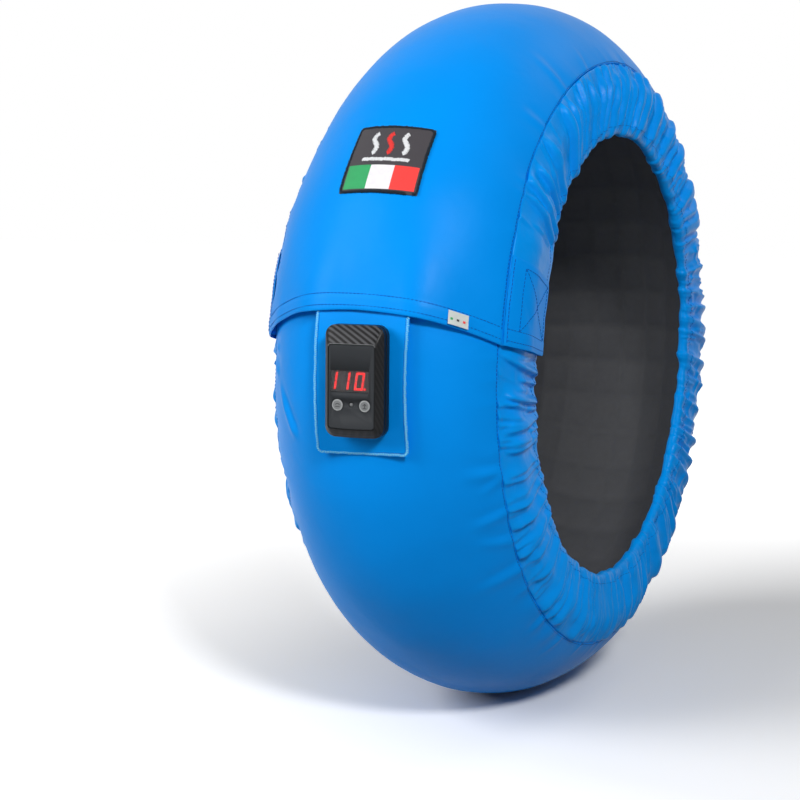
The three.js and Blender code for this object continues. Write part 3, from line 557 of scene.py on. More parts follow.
def follow(places, lengths, values):
    """Rows of values that belong to lengths along a path, at other places along it."""
    return np.stack([np.interp(places, lengths, values[:, i]) for i in range(3)], axis=-1)


def spindles(places, along, normals, length, radius):
    """The points and faces of many stitches. Each is a short bent thread whose ends sink into the cloth."""
    along = unit(along)
    side = unit(np.cross(normals, along))
    normals = np.cross(along, side)
    turn = np.radians(np.arange(SPINDLE_SIDES) * 360 / SPINDLE_SIDES)
    centre = places[:, None, :] + along[:, None, :] * (SPINDLE_ALONG * length)[None, :, None]
    centre = centre + normals[:, None, :] * (SPINDLE_RISE * radius)[None, :, None]
    around = normals[:, None, :] * np.cos(turn)[None, :, None]
    around = around + side[:, None, :] * np.sin(turn)[None, :, None]
    points = centre[:, :, None, :] + around[:, None, :, :] * (SPINDLE_THICK * radius)[None, :, None, None]
    rings = len(SPINDLE_ALONG)
    count = rings * SPINDLE_SIDES
    body = grid_faces(rings, SPINDLE_SIDES, wrap_columns=True, flip=True)
    first = np.arange(SPINDLE_SIDES)
    last = first[::-1] + count - SPINDLE_SIDES
    offsets = np.arange(len(places)) * count
    faces = [list(face) for face in (body[None] + offsets[:, None, None]).reshape(-1, 4)]
    faces += [list(first + offset) for offset in offsets]
    faces += [list(last + offset) for offset in offsets]
    return points.reshape(-1, 3), faces


def along_path(points, pitch):
    """Points at even distances along a path, the path's direction there, and both as lengths."""
    lengths = np.concatenate([[0], np.cumsum(np.linalg.norm(np.diff(points, axis=0), axis=1))])
    places = np.arange(0.5 * pitch, lengths[-1], pitch)
    ahead = follow(places + pitch / 4, lengths, points)
    behind = follow(places - pitch / 4, lengths, points)
    return follow(places, lengths, points), ahead - behind, places, lengths


def seam_threads(name, paths, material, pitch=None, radius=None):
    """Stitches along several paths. A path is (points, normals) with as many of each."""
    pitch = pitch or sewing().stitch_pitch
    radius = radius or sewing().thread_radius
    every_point = []
    every_face = []
    count = 0
    for points, normals in paths:
        found, along, places, lengths = along_path(points, pitch)
        up = follow(places, lengths, normals)
        spindle_points, faces = spindles(found, along, up, STITCH_SHARE * pitch, radius)
        every_point.append(spindle_points)
        every_face += [[i + count for i in face] for face in faces]
        count += len(spindle_points)
    return make_object(name, mesh_of(name, np.concatenate(every_point), every_face), material)


def edge_threads(name, points, normals, inward, material, pitch, length, radius, seed):
    """Threads that lie across an edge, close together, as an overlock or merrow stitch has them."""
    found, along, places, lengths = along_path(points, pitch)
    rng = np.random.default_rng(seed)
    up = follow(places, lengths, normals)
    cross = follow(places, lengths, inward)
    lean = cross + unit(along) * (0.35 + 0.35 * (rng.random(len(found)) - 0.5))[:, None]
    jitter = (rng.random(len(found)) - 0.5)[:, None] * 0.25 * length
    spindle_points, faces = spindles(found + cross * jitter, lean, up, length, radius)
    return make_object(name, mesh_of(name, spindle_points, faces), material)


def normals_of(path, lifted):
    """Directions from a path to the same path at a greater height."""
    return unit(lifted - path)


# Finishes

def node(tree, kind, inputs=None, **settings):
    """Adds a shader node. An input is a value, or the socket that feeds it."""
    made = tree.nodes.new(kind)
    for name, value in settings.items():
        setattr(made, name, value)
    for name, value in (inputs or {}).items():
        if isinstance(value, bpy.types.NodeSocket):
            tree.links.new(value, made.inputs[name])
        else:
            made.inputs[name].default_value = value
    return made


def calculate(tree, operation, first, second=0.0):
    """The result of a Math node."""
    return node(tree, "ShaderNodeMath", {0: first, 1: second}, operation=operation).outputs[0]


def shader_group(name, inputs, outputs):
    """A new node group with named inputs and outputs, and the sockets to build it between."""
    tree = bpy.data.node_groups.new(name, "ShaderNodeTree")
    for label, value in inputs.items():
        kind = "NodeSocketFloat" if isinstance(value, float) else "NodeSocketVector"
        if isinstance(value, tuple) and len(value) == 4:
            kind = "NodeSocketColor"
        tree.interface.new_socket(label, in_out="INPUT", socket_type=kind).default_value = value
    for label, kind in outputs.items():
        tree.interface.new_socket(label, in_out="OUTPUT", socket_type=kind)
    return tree, tree.nodes.new("NodeGroupInput").outputs, tree.nodes.new("NodeGroupOutput").inputs


def weave_group():
    """Plain weave: threads over and under each other in both directions."""
    if "Plain Weave" in bpy.data.node_groups:
        return bpy.data.node_groups["Plain Weave"]
    inputs = {"Cloth": (0.0, 0.0, 0.0), "Thread Size": 0.0008}
    tree, given, result = shader_group("Plain Weave", inputs, {"Height": "NodeSocketFloat"})
    parts = node(tree, "ShaderNodeSeparateXYZ", {0: given["Cloth"]})
    turns = calculate(tree, "DIVIDE", math.pi, given["Thread Size"])
    waves = [
        calculate(tree, "SINE", calculate(tree, "MULTIPLY", parts.outputs[axis], turns)) for axis in (0, 1)
    ]
    product = calculate(tree, "MULTIPLY", *waves)
    tree.links.new(calculate(tree, "MULTIPLY_ADD", product, 0.5), result["Height"])
    return tree


def tone_group():
    """Slow variation of a colour, as cloth and moulded plastic have it."""
    if "Tone Variation" in bpy.data.node_groups:
        return bpy.data.node_groups["Tone Variation"]
    black = (0.0, 0.0, 0.0, 1.0)
    white = (1.0, 1.0, 1.0, 1.0)
    inputs = {"Place": (0.0, 0.0, 0.0), "Dark": black, "Light": white, "Scale": 20.0}
    outputs = {"Colour": "NodeSocketColor", "Mask": "NodeSocketFloat"}
    tree, given, result = shader_group("Tone Variation", inputs, outputs)
    noise = node(
        tree, "ShaderNodeTexNoise", {"Vector": given["Place"], "Scale": given["Scale"], "Detail": 3.0}
    )
    blend = node(
        tree, "ShaderNodeMix", {"Factor": noise.outputs["Fac"], "A": given["Dark"], "B": given["Light"]},
        data_type="RGBA",
    )
    tree.links.new(blend.outputs[2], result["Colour"])
    tree.links.new(noise.outputs["Fac"], result["Mask"])
    return tree


def crumple_group():
    """Fine creases of thin cloth at two sizes."""
    if "Fine Creases" in bpy.data.node_groups:
        return bpy.data.node_groups["Fine Creases"]
    inputs = {"Place": (0.0, 0.0, 0.0), "Scale": 40.0}
    tree, given, result = shader_group("Fine Creases", inputs, {"Height": "NodeSocketFloat"})
    broad = node(
        tree, "ShaderNodeTexNoise",
        {"Vector": given["Place"], "Scale": given["Scale"], "Detail": 2.0, "Distortion": 0.6},
    )
    finer = calculate(tree, "MULTIPLY", given["Scale"], 3.1)
    fine = node(tree, "ShaderNodeTexNoise", {"Vector": given["Place"], "Scale": finer, "Detail": 2.0})
    crest = calculate(tree, "ABSOLUTE", calculate(tree, "SUBTRACT", fine.outputs["Fac"], 0.5))
    total = calculate(tree, "SUBTRACT", broad.outputs["Fac"], calculate(tree, "MULTIPLY", crest, 0.35))
    tree.links.new(total, result["Height"])
    return tree


def twill_group():
    """Carbon twill: bands of slanted fibre that step across each other."""
    if "Carbon Twill" in bpy.data.node_groups:
        return bpy.data.node_groups["Carbon Twill"]
    inputs = {"Place": (0.0, 0.0, 0.0), "Band": 0.004}
    outputs = {"Mask": "NodeSocketFloat", "Height": "NodeSocketFloat"}
    tree, given, result = shader_group("Carbon Twill", inputs, outputs)
    parts = node(tree, "ShaderNodeSeparateXYZ", {0: given["Place"]})
    slanted = calculate(tree, "ADD", parts.outputs[0], parts.outputs[1])
    cell = calculate(tree, "DIVIDE", parts.outputs[1], calculate(tree, "MULTIPLY", given["Band"], 0.25))
    turns = calculate(tree, "DIVIDE", math.pi, given["Band"])
    wave = calculate(tree, "SINE", calculate(tree, "MULTIPLY", slanted, turns))
    hatch = calculate(tree, "SINE", calculate(tree, "MULTIPLY", cell, math.pi))
    fibre = calculate(tree, "MULTIPLY", hatch, 0.22)
    band = node(tree, "ShaderNodeMapRange", {0: calculate(tree, "ADD", wave, fibre), 1: -0.35, 2: 0.55})
    tree.links.new(band.outputs[0], result["Mask"])
    tree.links.new(calculate(tree, "MULTIPLY_ADD", hatch, 0.5), result["Height"])
    return tree


def grouped(tree, group, inputs):
    """Places a node group with its own values, and gives its outputs."""
    return node(tree, "ShaderNodeGroup", inputs, node_tree=group).outputs


def rgba(colour, gain=1.0):
    """A colour made lighter or darker, with full alpha."""
    return (*[min(channel * gain, 1.0) for channel in colour], 1.0)


def new_finish(name, **constants):
    """A material with one Principled shader, whose constants are set on the shader's own sockets."""
    made = bpy.data.materials.new(name)
    made.use_nodes = True
    tree = made.node_tree
    shader = tree.nodes["Principled BSDF"]
    for socket, value in constants.items():
        shader.inputs[socket.replace("_", " ").title().replace("Ior", "IOR")].default_value = value
    return made, tree, shader


def relief(tree, shader, height, distance, strength=1.0, below=None):
    """Feeds a height to the shader's normal, over another relief if there is one."""
    inputs = {"Height": height, "Distance": distance, "Strength": strength}
    if below is not None:
        inputs["Normal"] = below
    bump = node(tree, "ShaderNodeBump", inputs)
    tree.links.new(bump.outputs[0], shader.inputs["Normal"])
    return bump.outputs[0]


def toned(tree, shader, place, colour, spread, scale):
    """Feeds the base colour with a slow variation about one colour."""
    dark = rgba(colour, 1 - spread)
    light = rgba(colour, 1 + spread)
    inputs = {"Place": place, "Dark": dark, "Light": light, "Scale": scale}
    found = grouped(tree, tone_group(), inputs)
    tree.links.new(found["Colour"], shader.inputs["Base Color"])
    return found["Mask"]


def rough_between(tree, shader, mask, low, high):
    """Feeds the roughness with a mask's variation."""
    spread = node(tree, "ShaderNodeMapRange", {0: mask, 3: low, 4: high})
    tree.links.new(spread.outputs[0], shader.inputs["Roughness"])


def nylon(name, colour, crease_scale, crease_depth, low=0.34, high=0.46, gloss=0.06):
    """Coated nylon: tight plain weave, fine creases and a soft sheen."""
    made, tree, shader = new_finish(name, specular_ior_level=gloss)
    place = node(tree, "ShaderNodeTexCoord").outputs
    mask = toned(tree, shader, place["Object"], colour, 0.06, 14.0)
    rough_between(tree, shader, mask, low, high)
    creases = grouped(tree, crumple_group(), {"Place": place["Object"], "Scale": crease_scale})["Height"]
    folds = relief(tree, shader, creases, crease_depth)
    weave = grouped(tree, weave_group(), {"Cloth": place["UV"], "Thread Size": 0.7 * MM})["Height"]
    relief(tree, shader, weave, 0.04 * MM, 0.5, folds)
    return made


def thread_finish(name, colour):
    """Twisted polyester thread."""
    made, tree, shader = new_finish(name, roughness=0.6, specular_ior_level=0.15)
    place = node(tree, "ShaderNodeTexCoord").outputs["Object"]
    toned(tree, shader, place, colour, 0.18, 900.0)
    twist = node(tree, "ShaderNodeTexNoise", {"Vector": place, "Scale": 2600.0, "Detail": 1.0})
    relief(tree, shader, twist.outputs["Fac"], 0.1 * MM, 0.5)
    return made


def woven_finish(name, colour, thread, depth, rough=0.8, spread=0.12):
    """Coarser woven cloth, such as a label, ribbon, elastic or lining."""
    made, tree, shader = new_finish(name, roughness=rough, sheen_weight=0.2)
    place = node(tree, "ShaderNodeTexCoord").outputs
    toned(tree, shader, place["Object"], colour, spread, 160.0)
    weave = grouped(tree, weave_group(), {"Cloth": place["UV"], "Thread Size": thread})["Height"]
    relief(tree, shader, weave, depth, 0.8)
    return made


def fibre_finish(name, colour, scale, depth):
    """Felt, hook tape and other fibre surfaces."""
    made, tree, shader = new_finish(name, roughness=0.95, sheen_weight=0.3)
    place = node(tree, "ShaderNodeTexCoord").outputs["Object"]
    toned(tree, shader, place, colour, 0.25, scale)
    tufts = node(tree, "ShaderNodeTexVoronoi", {"Vector": place, "Scale": scale * 1.6})
    relief(tree, shader, tufts.outputs["Distance"], depth, 0.9)
    return made


def plastic_finish(name, colour, rough, grain=0.02 * MM, coat=0.0, gloss=0.35):
    """Moulded plastic or rubber with a fine spark-eroded grain."""
    made, tree, shader = new_finish(
        name, coat_weight=coat, coat_roughness=0.12, specular_ior_level=gloss
    )
    place = node(tree, "ShaderNodeTexCoord").outputs["Object"]
    mask = toned(tree, shader, place, colour, 0.15, 60.0)
    rough_between(tree, shader, mask, rough - 0.05, rough + 0.07)
    texture = node(tree, "ShaderNodeTexNoise", {"Vector": place, "Scale": 1800.0, "Detail": 2.0})
    relief(tree, shader, texture.outputs["Fac"], grain, 0.6)
    return made


def metal_finish(name, colour, rough):
    """Turned or rolled metal with faint scratches."""
    made, tree, shader = new_finish(name, metallic=1.0)
    place = node(tree, "ShaderNodeTexCoord").outputs["Object"]
    mask = toned(tree, shader, place, colour, 0.08, 400.0)
    rough_between(tree, shader, mask, rough - 0.08, rough + 0.1)
    scratch = node(tree, "ShaderNodeTexNoise", {"Vector": place, "Scale": 3000.0, "Detail": 1.0})
    relief(tree, shader, scratch.outputs["Fac"], 0.01 * MM, 0.5)
    return made


def carbon_finish(name, dark, light):
    """Carbon twill under a thin clear coat, on the bevels of the control unit."""
    made, tree, shader = new_finish(
        name, roughness=0.4, coat_weight=0.03, coat_roughness=0.15, specular_ior_level=0.12
    )
    place = node(tree, "ShaderNodeTexCoord").outputs["UV"]
    twill = grouped(tree, twill_group(), {"Place": place, "Band": 3.6 * MM})
    shade = node(
        tree, "ShaderNodeMix",
        {"Factor": twill["Mask"], "A": rgba(dark), "B": rgba(light)},
        data_type="RGBA",
    )
    tree.links.new(shade.outputs[2], shader.inputs["Base Color"])
    relief(tree, shader, twill["Height"], 0.12 * MM, 0.6)
    return made


def glass_finish():
    """Smoked window of the display."""
    made, tree, shader = new_finish(
        "Smoked Window", transmission_weight=0.95, roughness=0.12, ior=1.3
    )
    place = node(tree, "ShaderNodeTexCoord").outputs["Object"]
    toned(tree, shader, place, (0.42, 0.42, 0.43), 0.05, 80.0)
    return made


def glowing_finish(name, colour, strength):
    """A lit segment of the display."""
    made, tree, shader = new_finish(name, roughness=0.5, emission_strength=strength)
    place = node(tree, "ShaderNodeTexCoord").outputs["Object"]
    shader.inputs["Emission Color"].default_value = rgba(colour)
    toned(tree, shader, place, colour, 0.1, 300.0)
    return made


FINISHES = {}


def finishes():
    """Every finish, made once from the colours in the panel."""
    if FINISHES:
        return FINISHES
    chosen = colours()
    FINISHES.update(
        cover=nylon("Cover Nylon", chosen.cover, 26.0, 0.5 * MM),
        skirt=nylon("Skirt Nylon", chosen.skirt, 60.0, 0.6 * MM, 0.26, 0.36, 0.08),
        patch=nylon("Patch Nylon", chosen.cover, 18.0, 0.25 * MM, 0.38, 0.48),
        thread=thread_finish("Seam Thread", chosen.thread),
        overlock=thread_finish("Overlock Thread", chosen.overlock),
        border=thread_finish("Label Border", (0.006, 0.012, 0.02)),
        white_thread=thread_finish("White Thread", (0.75, 0.76, 0.78)),
        red_thread=thread_finish("Red Thread", (0.75, 0.05, 0.045)),
        label=woven_finish("Label Black", (0.024, 0.02, 0.026), 0.45 * MM, 0.08 * MM, 0.75),
        label_green=woven_finish("Label Green", (0.012, 0.33, 0.1), 0.45 * MM, 0.08 * MM, 0.7),
        label_white=woven_finish("Label White", (0.82, 0.8, 0.84), 0.45 * MM, 0.08 * MM, 0.7),
        label_red=woven_finish("Label Red", (0.9, 0.035, 0.03), 0.45 * MM, 0.08 * MM, 0.7),
        tag=woven_finish("Ribbon Tag", (0.62, 0.66, 0.64), 0.5 * MM, 0.05 * MM, 0.6),
        tape=fibre_finish("Hook And Loop", (0.004, 0.004, 0.005), 900.0, 0.5 * MM),
        elastic=woven_finish("Elastic", (0.66, 0.68, 0.7), 1.1 * MM, 0.2 * MM),
        felt=fibre_finish("Insulation Felt", (0.48, 0.46, 0.42), 500.0, 0.4 * MM),
        lining=woven_finish("Aramid Lining", chosen.lining, 1.0 * MM, 0.12 * MM, 0.7, 0.2),
        heater=woven_finish("Heating Tape", (0.012, 0.012, 0.013), 1.4 * MM, 0.15 * MM, 0.5),
        shell=plastic_finish("Black Housing", chosen.shell, 0.3, 0.015 * MM, 0.03, gloss=0.1),
        face=plastic_finish("Face Film", chosen.face, 0.55, 0.02 * MM, gloss=0.15),
        # Light grey for the thin band along the top edge of the face only: a painted highlight.
        rim=plastic_finish("Face Edge Painted Highlight", (0.2, 0.21, 0.22), 0.35),
        # Two copies of one carbon twill: the lighter one on bevel faces that look up is painted light, the
        # darker one on the other bevel faces is painted shade.
        carbon=carbon_finish("Carbon Bevel", (0.003, 0.003, 0.0035), (0.075, 0.076, 0.082)),
        dim_carbon=carbon_finish("Carbon Painted Shade", (0.004, 0.0043, 0.005), (0.011, 0.011, 0.012)),
        key=plastic_finish("Key Rubber", (0.17, 0.18, 0.185), 0.5),
        key_ring=plastic_finish("Key Ring", (0.3, 0.315, 0.32), 0.45),
        key_sign=plastic_finish("Key Sign", (0.05, 0.052, 0.055), 0.5),
        rubber=plastic_finish("Rubber", (0.008, 0.008, 0.009), 0.7, 0.05 * MM),
        module=plastic_finish("Module Plastic", (0.05, 0.053, 0.057), 0.5),
        block=plastic_finish("Terminal Plastic", (0.55, 0.56, 0.54), 0.5),
        board=plastic_finish("Circuit Board", (0.012, 0.1, 0.035), 0.45),
        jacket=plastic_finish("Lead Jacket", (0.2, 0.012, 0.01), 0.5),
        black_jacket=plastic_finish("Mains Jacket", (0.01, 0.01, 0.011), 0.55),
        steel=metal_finish("Steel", (0.5, 0.51, 0.52), 0.3),
        window=glass_finish(),
        digit=glowing_finish("Lit Segment", chosen.digit, 2.3),
        lamp=glowing_finish("Indicator", (0.12, 0.125, 0.13), 0.1),
    )
    return FINISHES


# Folds of the cover

CREASES = [
    # (section and ring at one end, at the other end, height, half width), on the right of the crown
    ((36.0, 64.5), (57.5, 62.8), 1.5, 5.0),
    ((45.0, 50.5), (57.5, 50.3), 1.3, 5.0),
    ((40.0, -14.2), (57.5, -15.4), 1.6, 5.5),
    ((47.0, -18.4), (57.5, -16.6), 1.2, 4.0),
    ((41.0, -23.8), (57.5, -23.3), 1.5, 5.0),
    ((42.0, -26.9), (57.5, -29.6), 1.3, 5.0),
    ((35.5, -36.5), (57.5, -36.4), 1.4, 6.0),
    ((48.5, -54.1), (57.5, -52.8), 1.3, 5.0),
    ((46.0, 76.0), (57.5, 74.0), 1.2, 5.0),
    ((-45.0, -1.0), (-33.0, -7.5), 2.2, 4.0),
    ((-57.0, 2.5), (-48.0, 1.0), 1.4, 5.0),
    ((-57.0, 5.5), (-49.0, 5.0), 1.2, 4.0),
]


def crease_height(section, ring):
    """The creases' height over the crown. A crease is a soft ridge that fades towards its inner end."""
    total = np.zeros(np.broadcast(section, ring).shape)
    arc = CROWN_RADIUS * math.radians(1)
    round_arc = 0.3 * math.radians(1)
    for (section_a, ring_a), (section_b, ring_b), height, half_width in CREASES:
        along = np.array([(section_b - section_a) * arc, (ring_b - ring_a) * round_arc])
        length = np.linalg.norm(along)
        along /= length
        for turn in (0, 360):
            x = (section - section_a) * arc
            y = (ring - turn - ring_a) * round_arc
            share = (x * along[0] + y * along[1]) / length
            away = (y * along[0] - x * along[1]) / (half_width * MM)
            fade = smooth(share, -0.15, 0.7) * (1 - smooth(share, 1.0, 1.3))
            total = total + height * MM * fade * (np.exp(-away ** 2) - 0.6 * np.exp(-(away - 1.5) ** 2))
    return total


def crown_folds(section, ring):
    """Height of the crown's slack, seam puckers and creases."""
    seed = sewing().seed
    around, across = crown_flat(section, ring)
    slack = 1.6 * MM * (cloth_noise(around / 0.09, across / 0.08 + 20, seed) - 0.5)
    slack = slack + 0.7 * MM * (cloth_noise(around / 0.034, across / 0.04 + 9, seed + 1) - 0.5)
    from_seam = arc_length(CROWN_HALF_ANGLE - np.abs(section), CROWN_RADIUS)
    side_shift = np.where(section > 0, 0.0, 40.0)
    slant = 0.35 * from_seam * (cloth_noise(around / 0.05 + side_shift, 3.0, seed + 2) - 0.5)
    gathers = fold_lines((around + slant) / 0.021 + side_shift, from_seam / 0.07, seed + 3, 1.5) - 0.4
    reach = mix(9 * MM, 26 * MM, cloth_noise(around / 0.045 + side_shift, 5.0, seed + 4))
    strength = 0.35 + 1.1 * cloth_noise(around / 0.11 + side_shift, 8.0, seed + 5)
    puckers = sewing().pucker_depth * gathers * strength * np.exp(-((from_seam / reach) ** 2))
    groove = -0.45 * MM * np.exp(-((from_seam / (1.5 * MM)) ** 2))
    return slack + puckers + groove + crease_height(section, ring)


def keep_clear(section, ring):
    """0 where the cover passes under the patch or the label, so that its folds stay below them."""
    turn = np.mod(ring + 180, 360) - 180
    under_patch = (ring > 180) & (turn < PATCH_HEAD + 3)
    edge = np.abs(section - POD_SECTION) - PATCH_HALF_ANGLE
    near_patch = (1 - smooth(edge, -9, -1)) * smooth(turn, PATCH_FOOT - 3, PATCH_FOOT) * under_patch
    label_side = np.maximum(LABEL_SECTIONS[0] - section, section - LABEL_SECTIONS[1])
    label_end = np.maximum(LABEL_RINGS[0] - ring, ring - LABEL_RINGS[1])
    near_label = (1 - smooth(label_side, 0, 4)) * (1 - smooth(label_end, 0, 1.5))
    tucked = smooth(ring, 365, 372)
    return np.clip(1 - near_patch, 0, 1) * (1 - near_label) * (1 - tucked)


def cover_levels():
    """Ring angles along the cover and the cloth's height at each, from the inside of the folded hem."""
    fold = [
        # (ring angle past the flap's edge, height in millimetres)
        (2.3, -1.2), (1.4, -1.2), (0.7, -1.2), (0.25, -1.15),
        (0.06, -0.85), (0, -0.4), (0.06, 0.1), (0.22, 0.4),
    ]
    near = np.arange(FLAP_EDGE + 0.5, 46, 0.36)
    far = np.arange(46.2, STRIP_END, 0.5)
    folded_rings = [FLAP_EDGE + past for past, _ in fold]
    folded_heights = [height for _, height in fold]
    rings = np.concatenate([folded_rings, near, far, [STRIP_END]])
    heights = np.concatenate([folded_heights, np.zeros(len(near) + len(far) + 1)])
    hem = 0.55 * (1 - smooth(rings, FLAP_EDGE + 1.9, FLAP_EDGE + 2.9))
    stitch_line = -0.35 * np.exp(-(((rings - FLAP_EDGE - FLAP_HEM) / 0.25) ** 2))
    rise = np.where(np.arange(len(rings)) >= len(fold), hem + stitch_line, 0)
    return rings, (heights + rise) * MM


def cover_sections():
    """Section angles across the cover, closer together beside the seams."""
    middle = np.arange(-44, 44.1, 1.35)
    edge = np.arange(44.9, CROWN_HALF_ANGLE, 0.75)
    return np.concatenate([[-CROWN_HALF_ANGLE], -edge[::-1], middle, edge, [CROWN_HALF_ANGLE]])


def build_cover():
    """The cloth of the strip, with its hem, slack and seam puckers."""
    rings, heights = cover_levels()
    sections = cover_sections()
    ring = rings[:, None]
    section = sections[None, :]
    height = heights[:, None] + crown_folds(section, ring) * keep_clear(section, ring)
    along_hem = arc_length(section, CROWN_RADIUS)
    hem_wave = 0.5 * MM * (cloth_noise(along_hem / 0.016, 2.0, sewing().seed + 7) - 0.5)
    height = height + hem_wave * (1 - smooth(ring, FLAP_EDGE + 2, FLAP_EDGE + 5))
    edge_wave = 0.22 * (cloth_noise(along_hem / 0.03, 6.0, sewing().seed + 8) - 0.5)
    shifted = ring + edge_wave * (1 - smooth(ring, FLAP_EDGE, FLAP_EDGE + 3))
    points = on_flap(section, shifted, CROWN_RADIUS + height)
    depths = np.array([1.2, 2.6, 4.2, 5.6]) * MM
    turns = np.array([0.1, 0.22, 0.45, 0.9])
    margins = []
    for end, angle in ((0, -CROWN_HALF_ANGLE), (-1, CROWN_HALF_ANGLE)):
        turned = [
            on_flap(angle + turn * np.sign(angle), shifted[:, 0], CROWN_RADIUS + height[:, end] - depth)
            for depth, turn in zip(depths, turns)
        ]
        margins.append(np.stack(turned, axis=1))
    points = np.concatenate([margins[0][:, ::-1], points, margins[1]], axis=1)
    edge = along_hem.max()
    flat_v = np.concatenate([-edge - depths[::-1], along_hem[0], edge + depths])
    flat_u = arc_length(ring, OUTER_RADIUS)
    cover = sheet_object("cover_cloth", points, flat_u, flat_v[None, :], finishes()["cover"], flip=True)
    finished(cover, "cover_nylon", "outer_cover")
    return cover


def crown_path(sections, rings, height):
    """A path on the cover's surface, and the outward direction along it."""
    sections, rings = np.broadcast_arrays(np.asarray(sections, float), np.asarray(rings, float))
    folds = crown_folds(sections, rings) * keep_clear(sections, rings)
    base = on_flap(sections, rings, CROWN_RADIUS + folds + height)
    above = on_flap(sections, rings, CROWN_RADIUS + folds + height + 1 * MM)
    return base, normals_of(base, above)


def build_cover_threads():
    """Seams beside the skirts, and the rows that hold the flap's hem, tape and label."""
    fine = np.linspace(-CROWN_HALF_ANGLE + 1, CROWN_HALF_ANGLE - 1, 400)
    hem_top = crown_path(fine, FLAP_EDGE + FLAP_HEM, 0.1 * MM)
    hem_foot = crown_path(fine, FLAP_EDGE + 0.75, 0.55 * MM)
    rows = [hem_top, hem_foot]
    around = np.linspace(FLAP_EDGE + 0.3, STRIP_END - 0.5, 5000)
    for side in (-1, 1):
        rows.append(crown_path(side * (CROWN_HALF_ANGLE - 0.5), around, 0.15 * MM))
    threads = seam_threads("cover_stitches", rows, finishes()["thread"])
    return finished(threads, "cover_nylon")


# Skirts

FOLD_FAMILIES = (
    # (pitch and height as shares of the main gathers, reach of the starts and ends down the flank)
    (1.0, 1.0, (-0.1, 0.12), (0.85, 1.2)),
    (0.7, 0.45, (0.0, 0.35), (0.5, 1.1)),
    (0.45, 0.36, (0.55, 0.8), (0.95, 1.05)),
    (0.5, 0.3, (-0.2, -0.1), (0.1, 0.35)),
)


def gathered_at(ring):
    """1 where the skirt is gathered, and 0 where it lies flat under the tabs and tapes."""
    return smooth(ring, *GATHERS_START) * (1 - smooth(ring, *GATHERS_END))


def fold_table(side):
    """Every fold of a skirt: its place at the hem, lean, height, width, start and end."""
    seed = sewing().seed + GATHER_SEEDS[side]
    rng = np.random.default_rng(seed)
    first = math.radians(FLAP_EDGE) * FOLD_RADIUS
    total = math.radians(STRIP_END - FLAP_EDGE) * FOLD_RADIUS
    folds = []
    for pitch_share, height_share, starts, ends in FOLD_FAMILIES:
        pitch = sewing().gather_pitch * pitch_share
        count = int(total / pitch)
        place = first + (np.arange(count) + rng.uniform(-0.4, 0.4, count)) * pitch
        lean = (cloth_noise(place / 0.1, 1.0, seed) - 0.5) * 52 * MM + rng.uniform(-7, 7, count) * MM
        height = sewing().gather_depth * height_share * rng.uniform(0.3, 1.25, count)
        width = pitch * rng.uniform(0.16, 0.34, count)
        start = rng.uniform(*starts, count) * FLANK_LENGTH
        end = rng.uniform(*ends, count) * FLANK_LENGTH
        folds += list(zip(place, lean, height, width, start, end))
    return folds


def skirt_heights(length, ring, side):
    """Height of the skirt's gathers, from the seam down to the hem's loop."""
    seed = sewing().seed + GATHER_SEEDS[side]
    depth = sewing().gather_depth
    around = arc_length(ring, FOLD_RADIUS)
    down = np.clip(length / FLANK_LENGTH, 0, 1.3)
    wander = 5 * MM * (cloth_noise(around / 0.03, down * 2.2, seed + 1) - 0.5)
    height = 0.0
    level = 0.0
    for place, lean, tall, width, start, end in fold_table(side):
        away = around + wander - place - lean * (1 - down)
        steep = np.exp(-((away / (0.42 * width)) ** 2))
        gentle = np.exp(-np.abs(away / (1.5 * width)) ** 1.3)
        reach = smooth(length, start, start + 13 * MM) * (1 - smooth(length, end, end + 13 * MM))
        height = height + tall * reach * np.where(away < 0, steep, gentle)
        level = level + tall * width * reach
    height = height - FOLD_MEAN * level / (math.radians(STRIP_END - FLAP_EDGE) * FOLD_RADIUS)
    far = 0.5 + 0.9 * smooth(ring, 95, 150) * (1 - smooth(ring, 215, 250))
    cross = fold_lines((around + 0.4 * length) / 0.021, down * 4.5, seed + 4, 2.2) - 0.35
    height = height + 0.2 * depth * far * cross * smooth(down, 0.05, 0.3)
    fine = cloth_noise(around / 0.007, down * 10, seed + 5) - 0.5
    height = height + 0.06 * depth * fine * (0.4 + 0.8 * smooth(down, 0.6, 1.0))
    height = FOLD_LIMIT * np.tanh(height / FOLD_LIMIT) * (1 - 0.55 * smooth(down, 0.86, 1.02))
    groove = -0.5 * MM * np.exp(-((length / (1.6 * MM)) ** 2))
    return height * gathered_at(ring) + groove


def skirt_rows():
    """Lengths of the skirt's rows, from the seam to the end of the hem's loop."""
    flank = np.linspace(0, FLANK_LENGTH, 52)
    loop = np.linspace(FLANK_LENGTH, PROFILE_LENGTHS[-1], 13)[1:]
    return np.concatenate([flank, loop])


def build_skirt(side_name):
    """The gathered cloth, from inside the seam to inside the hem's casing."""
    side = SIDES[side_name]
    rings = np.concatenate([np.arange(FLAP_EDGE, STRIP_END, 0.31), [STRIP_END]])
    lengths = skirt_rows()
    ring = rings[None, :]
    length = lengths[:, None]
    seed = sewing().seed + SCALLOP_SEEDS[side]
    around = arc_length(ring, HEM_RADIUS)
    scallop = cloth_noise(around / 0.012, 1.0, seed) - 0.5
    past = smooth(length, FLANK_LENGTH - 8 * MM, FLANK_LENGTH + 4 * MM)
    height = skirt_heights(length, ring, side) + 2.4 * MM * scallop * past * gathered_at(ring)
    points = on_flank(length, ring, height, side)
    under = [on_flank(0.0, rings, height[0] - depth, side) for depth in SKIRT_MARGIN]
    points = np.concatenate([np.stack(under), points])
    flat_v = np.concatenate([[-depth for depth in SKIRT_MARGIN], lengths])[:, None]
    flat_u = arc_length(ring, FLANK_MIDDLE_RADIUS)
    name = "skirt_gathered_" + side_name
    skirt = sheet_object(name, points, flat_u, flat_v, finishes()["skirt"], flip=side > 0)
    finished(skirt, "skirt_nylon", "skirt_" + side_name)
    return skirt


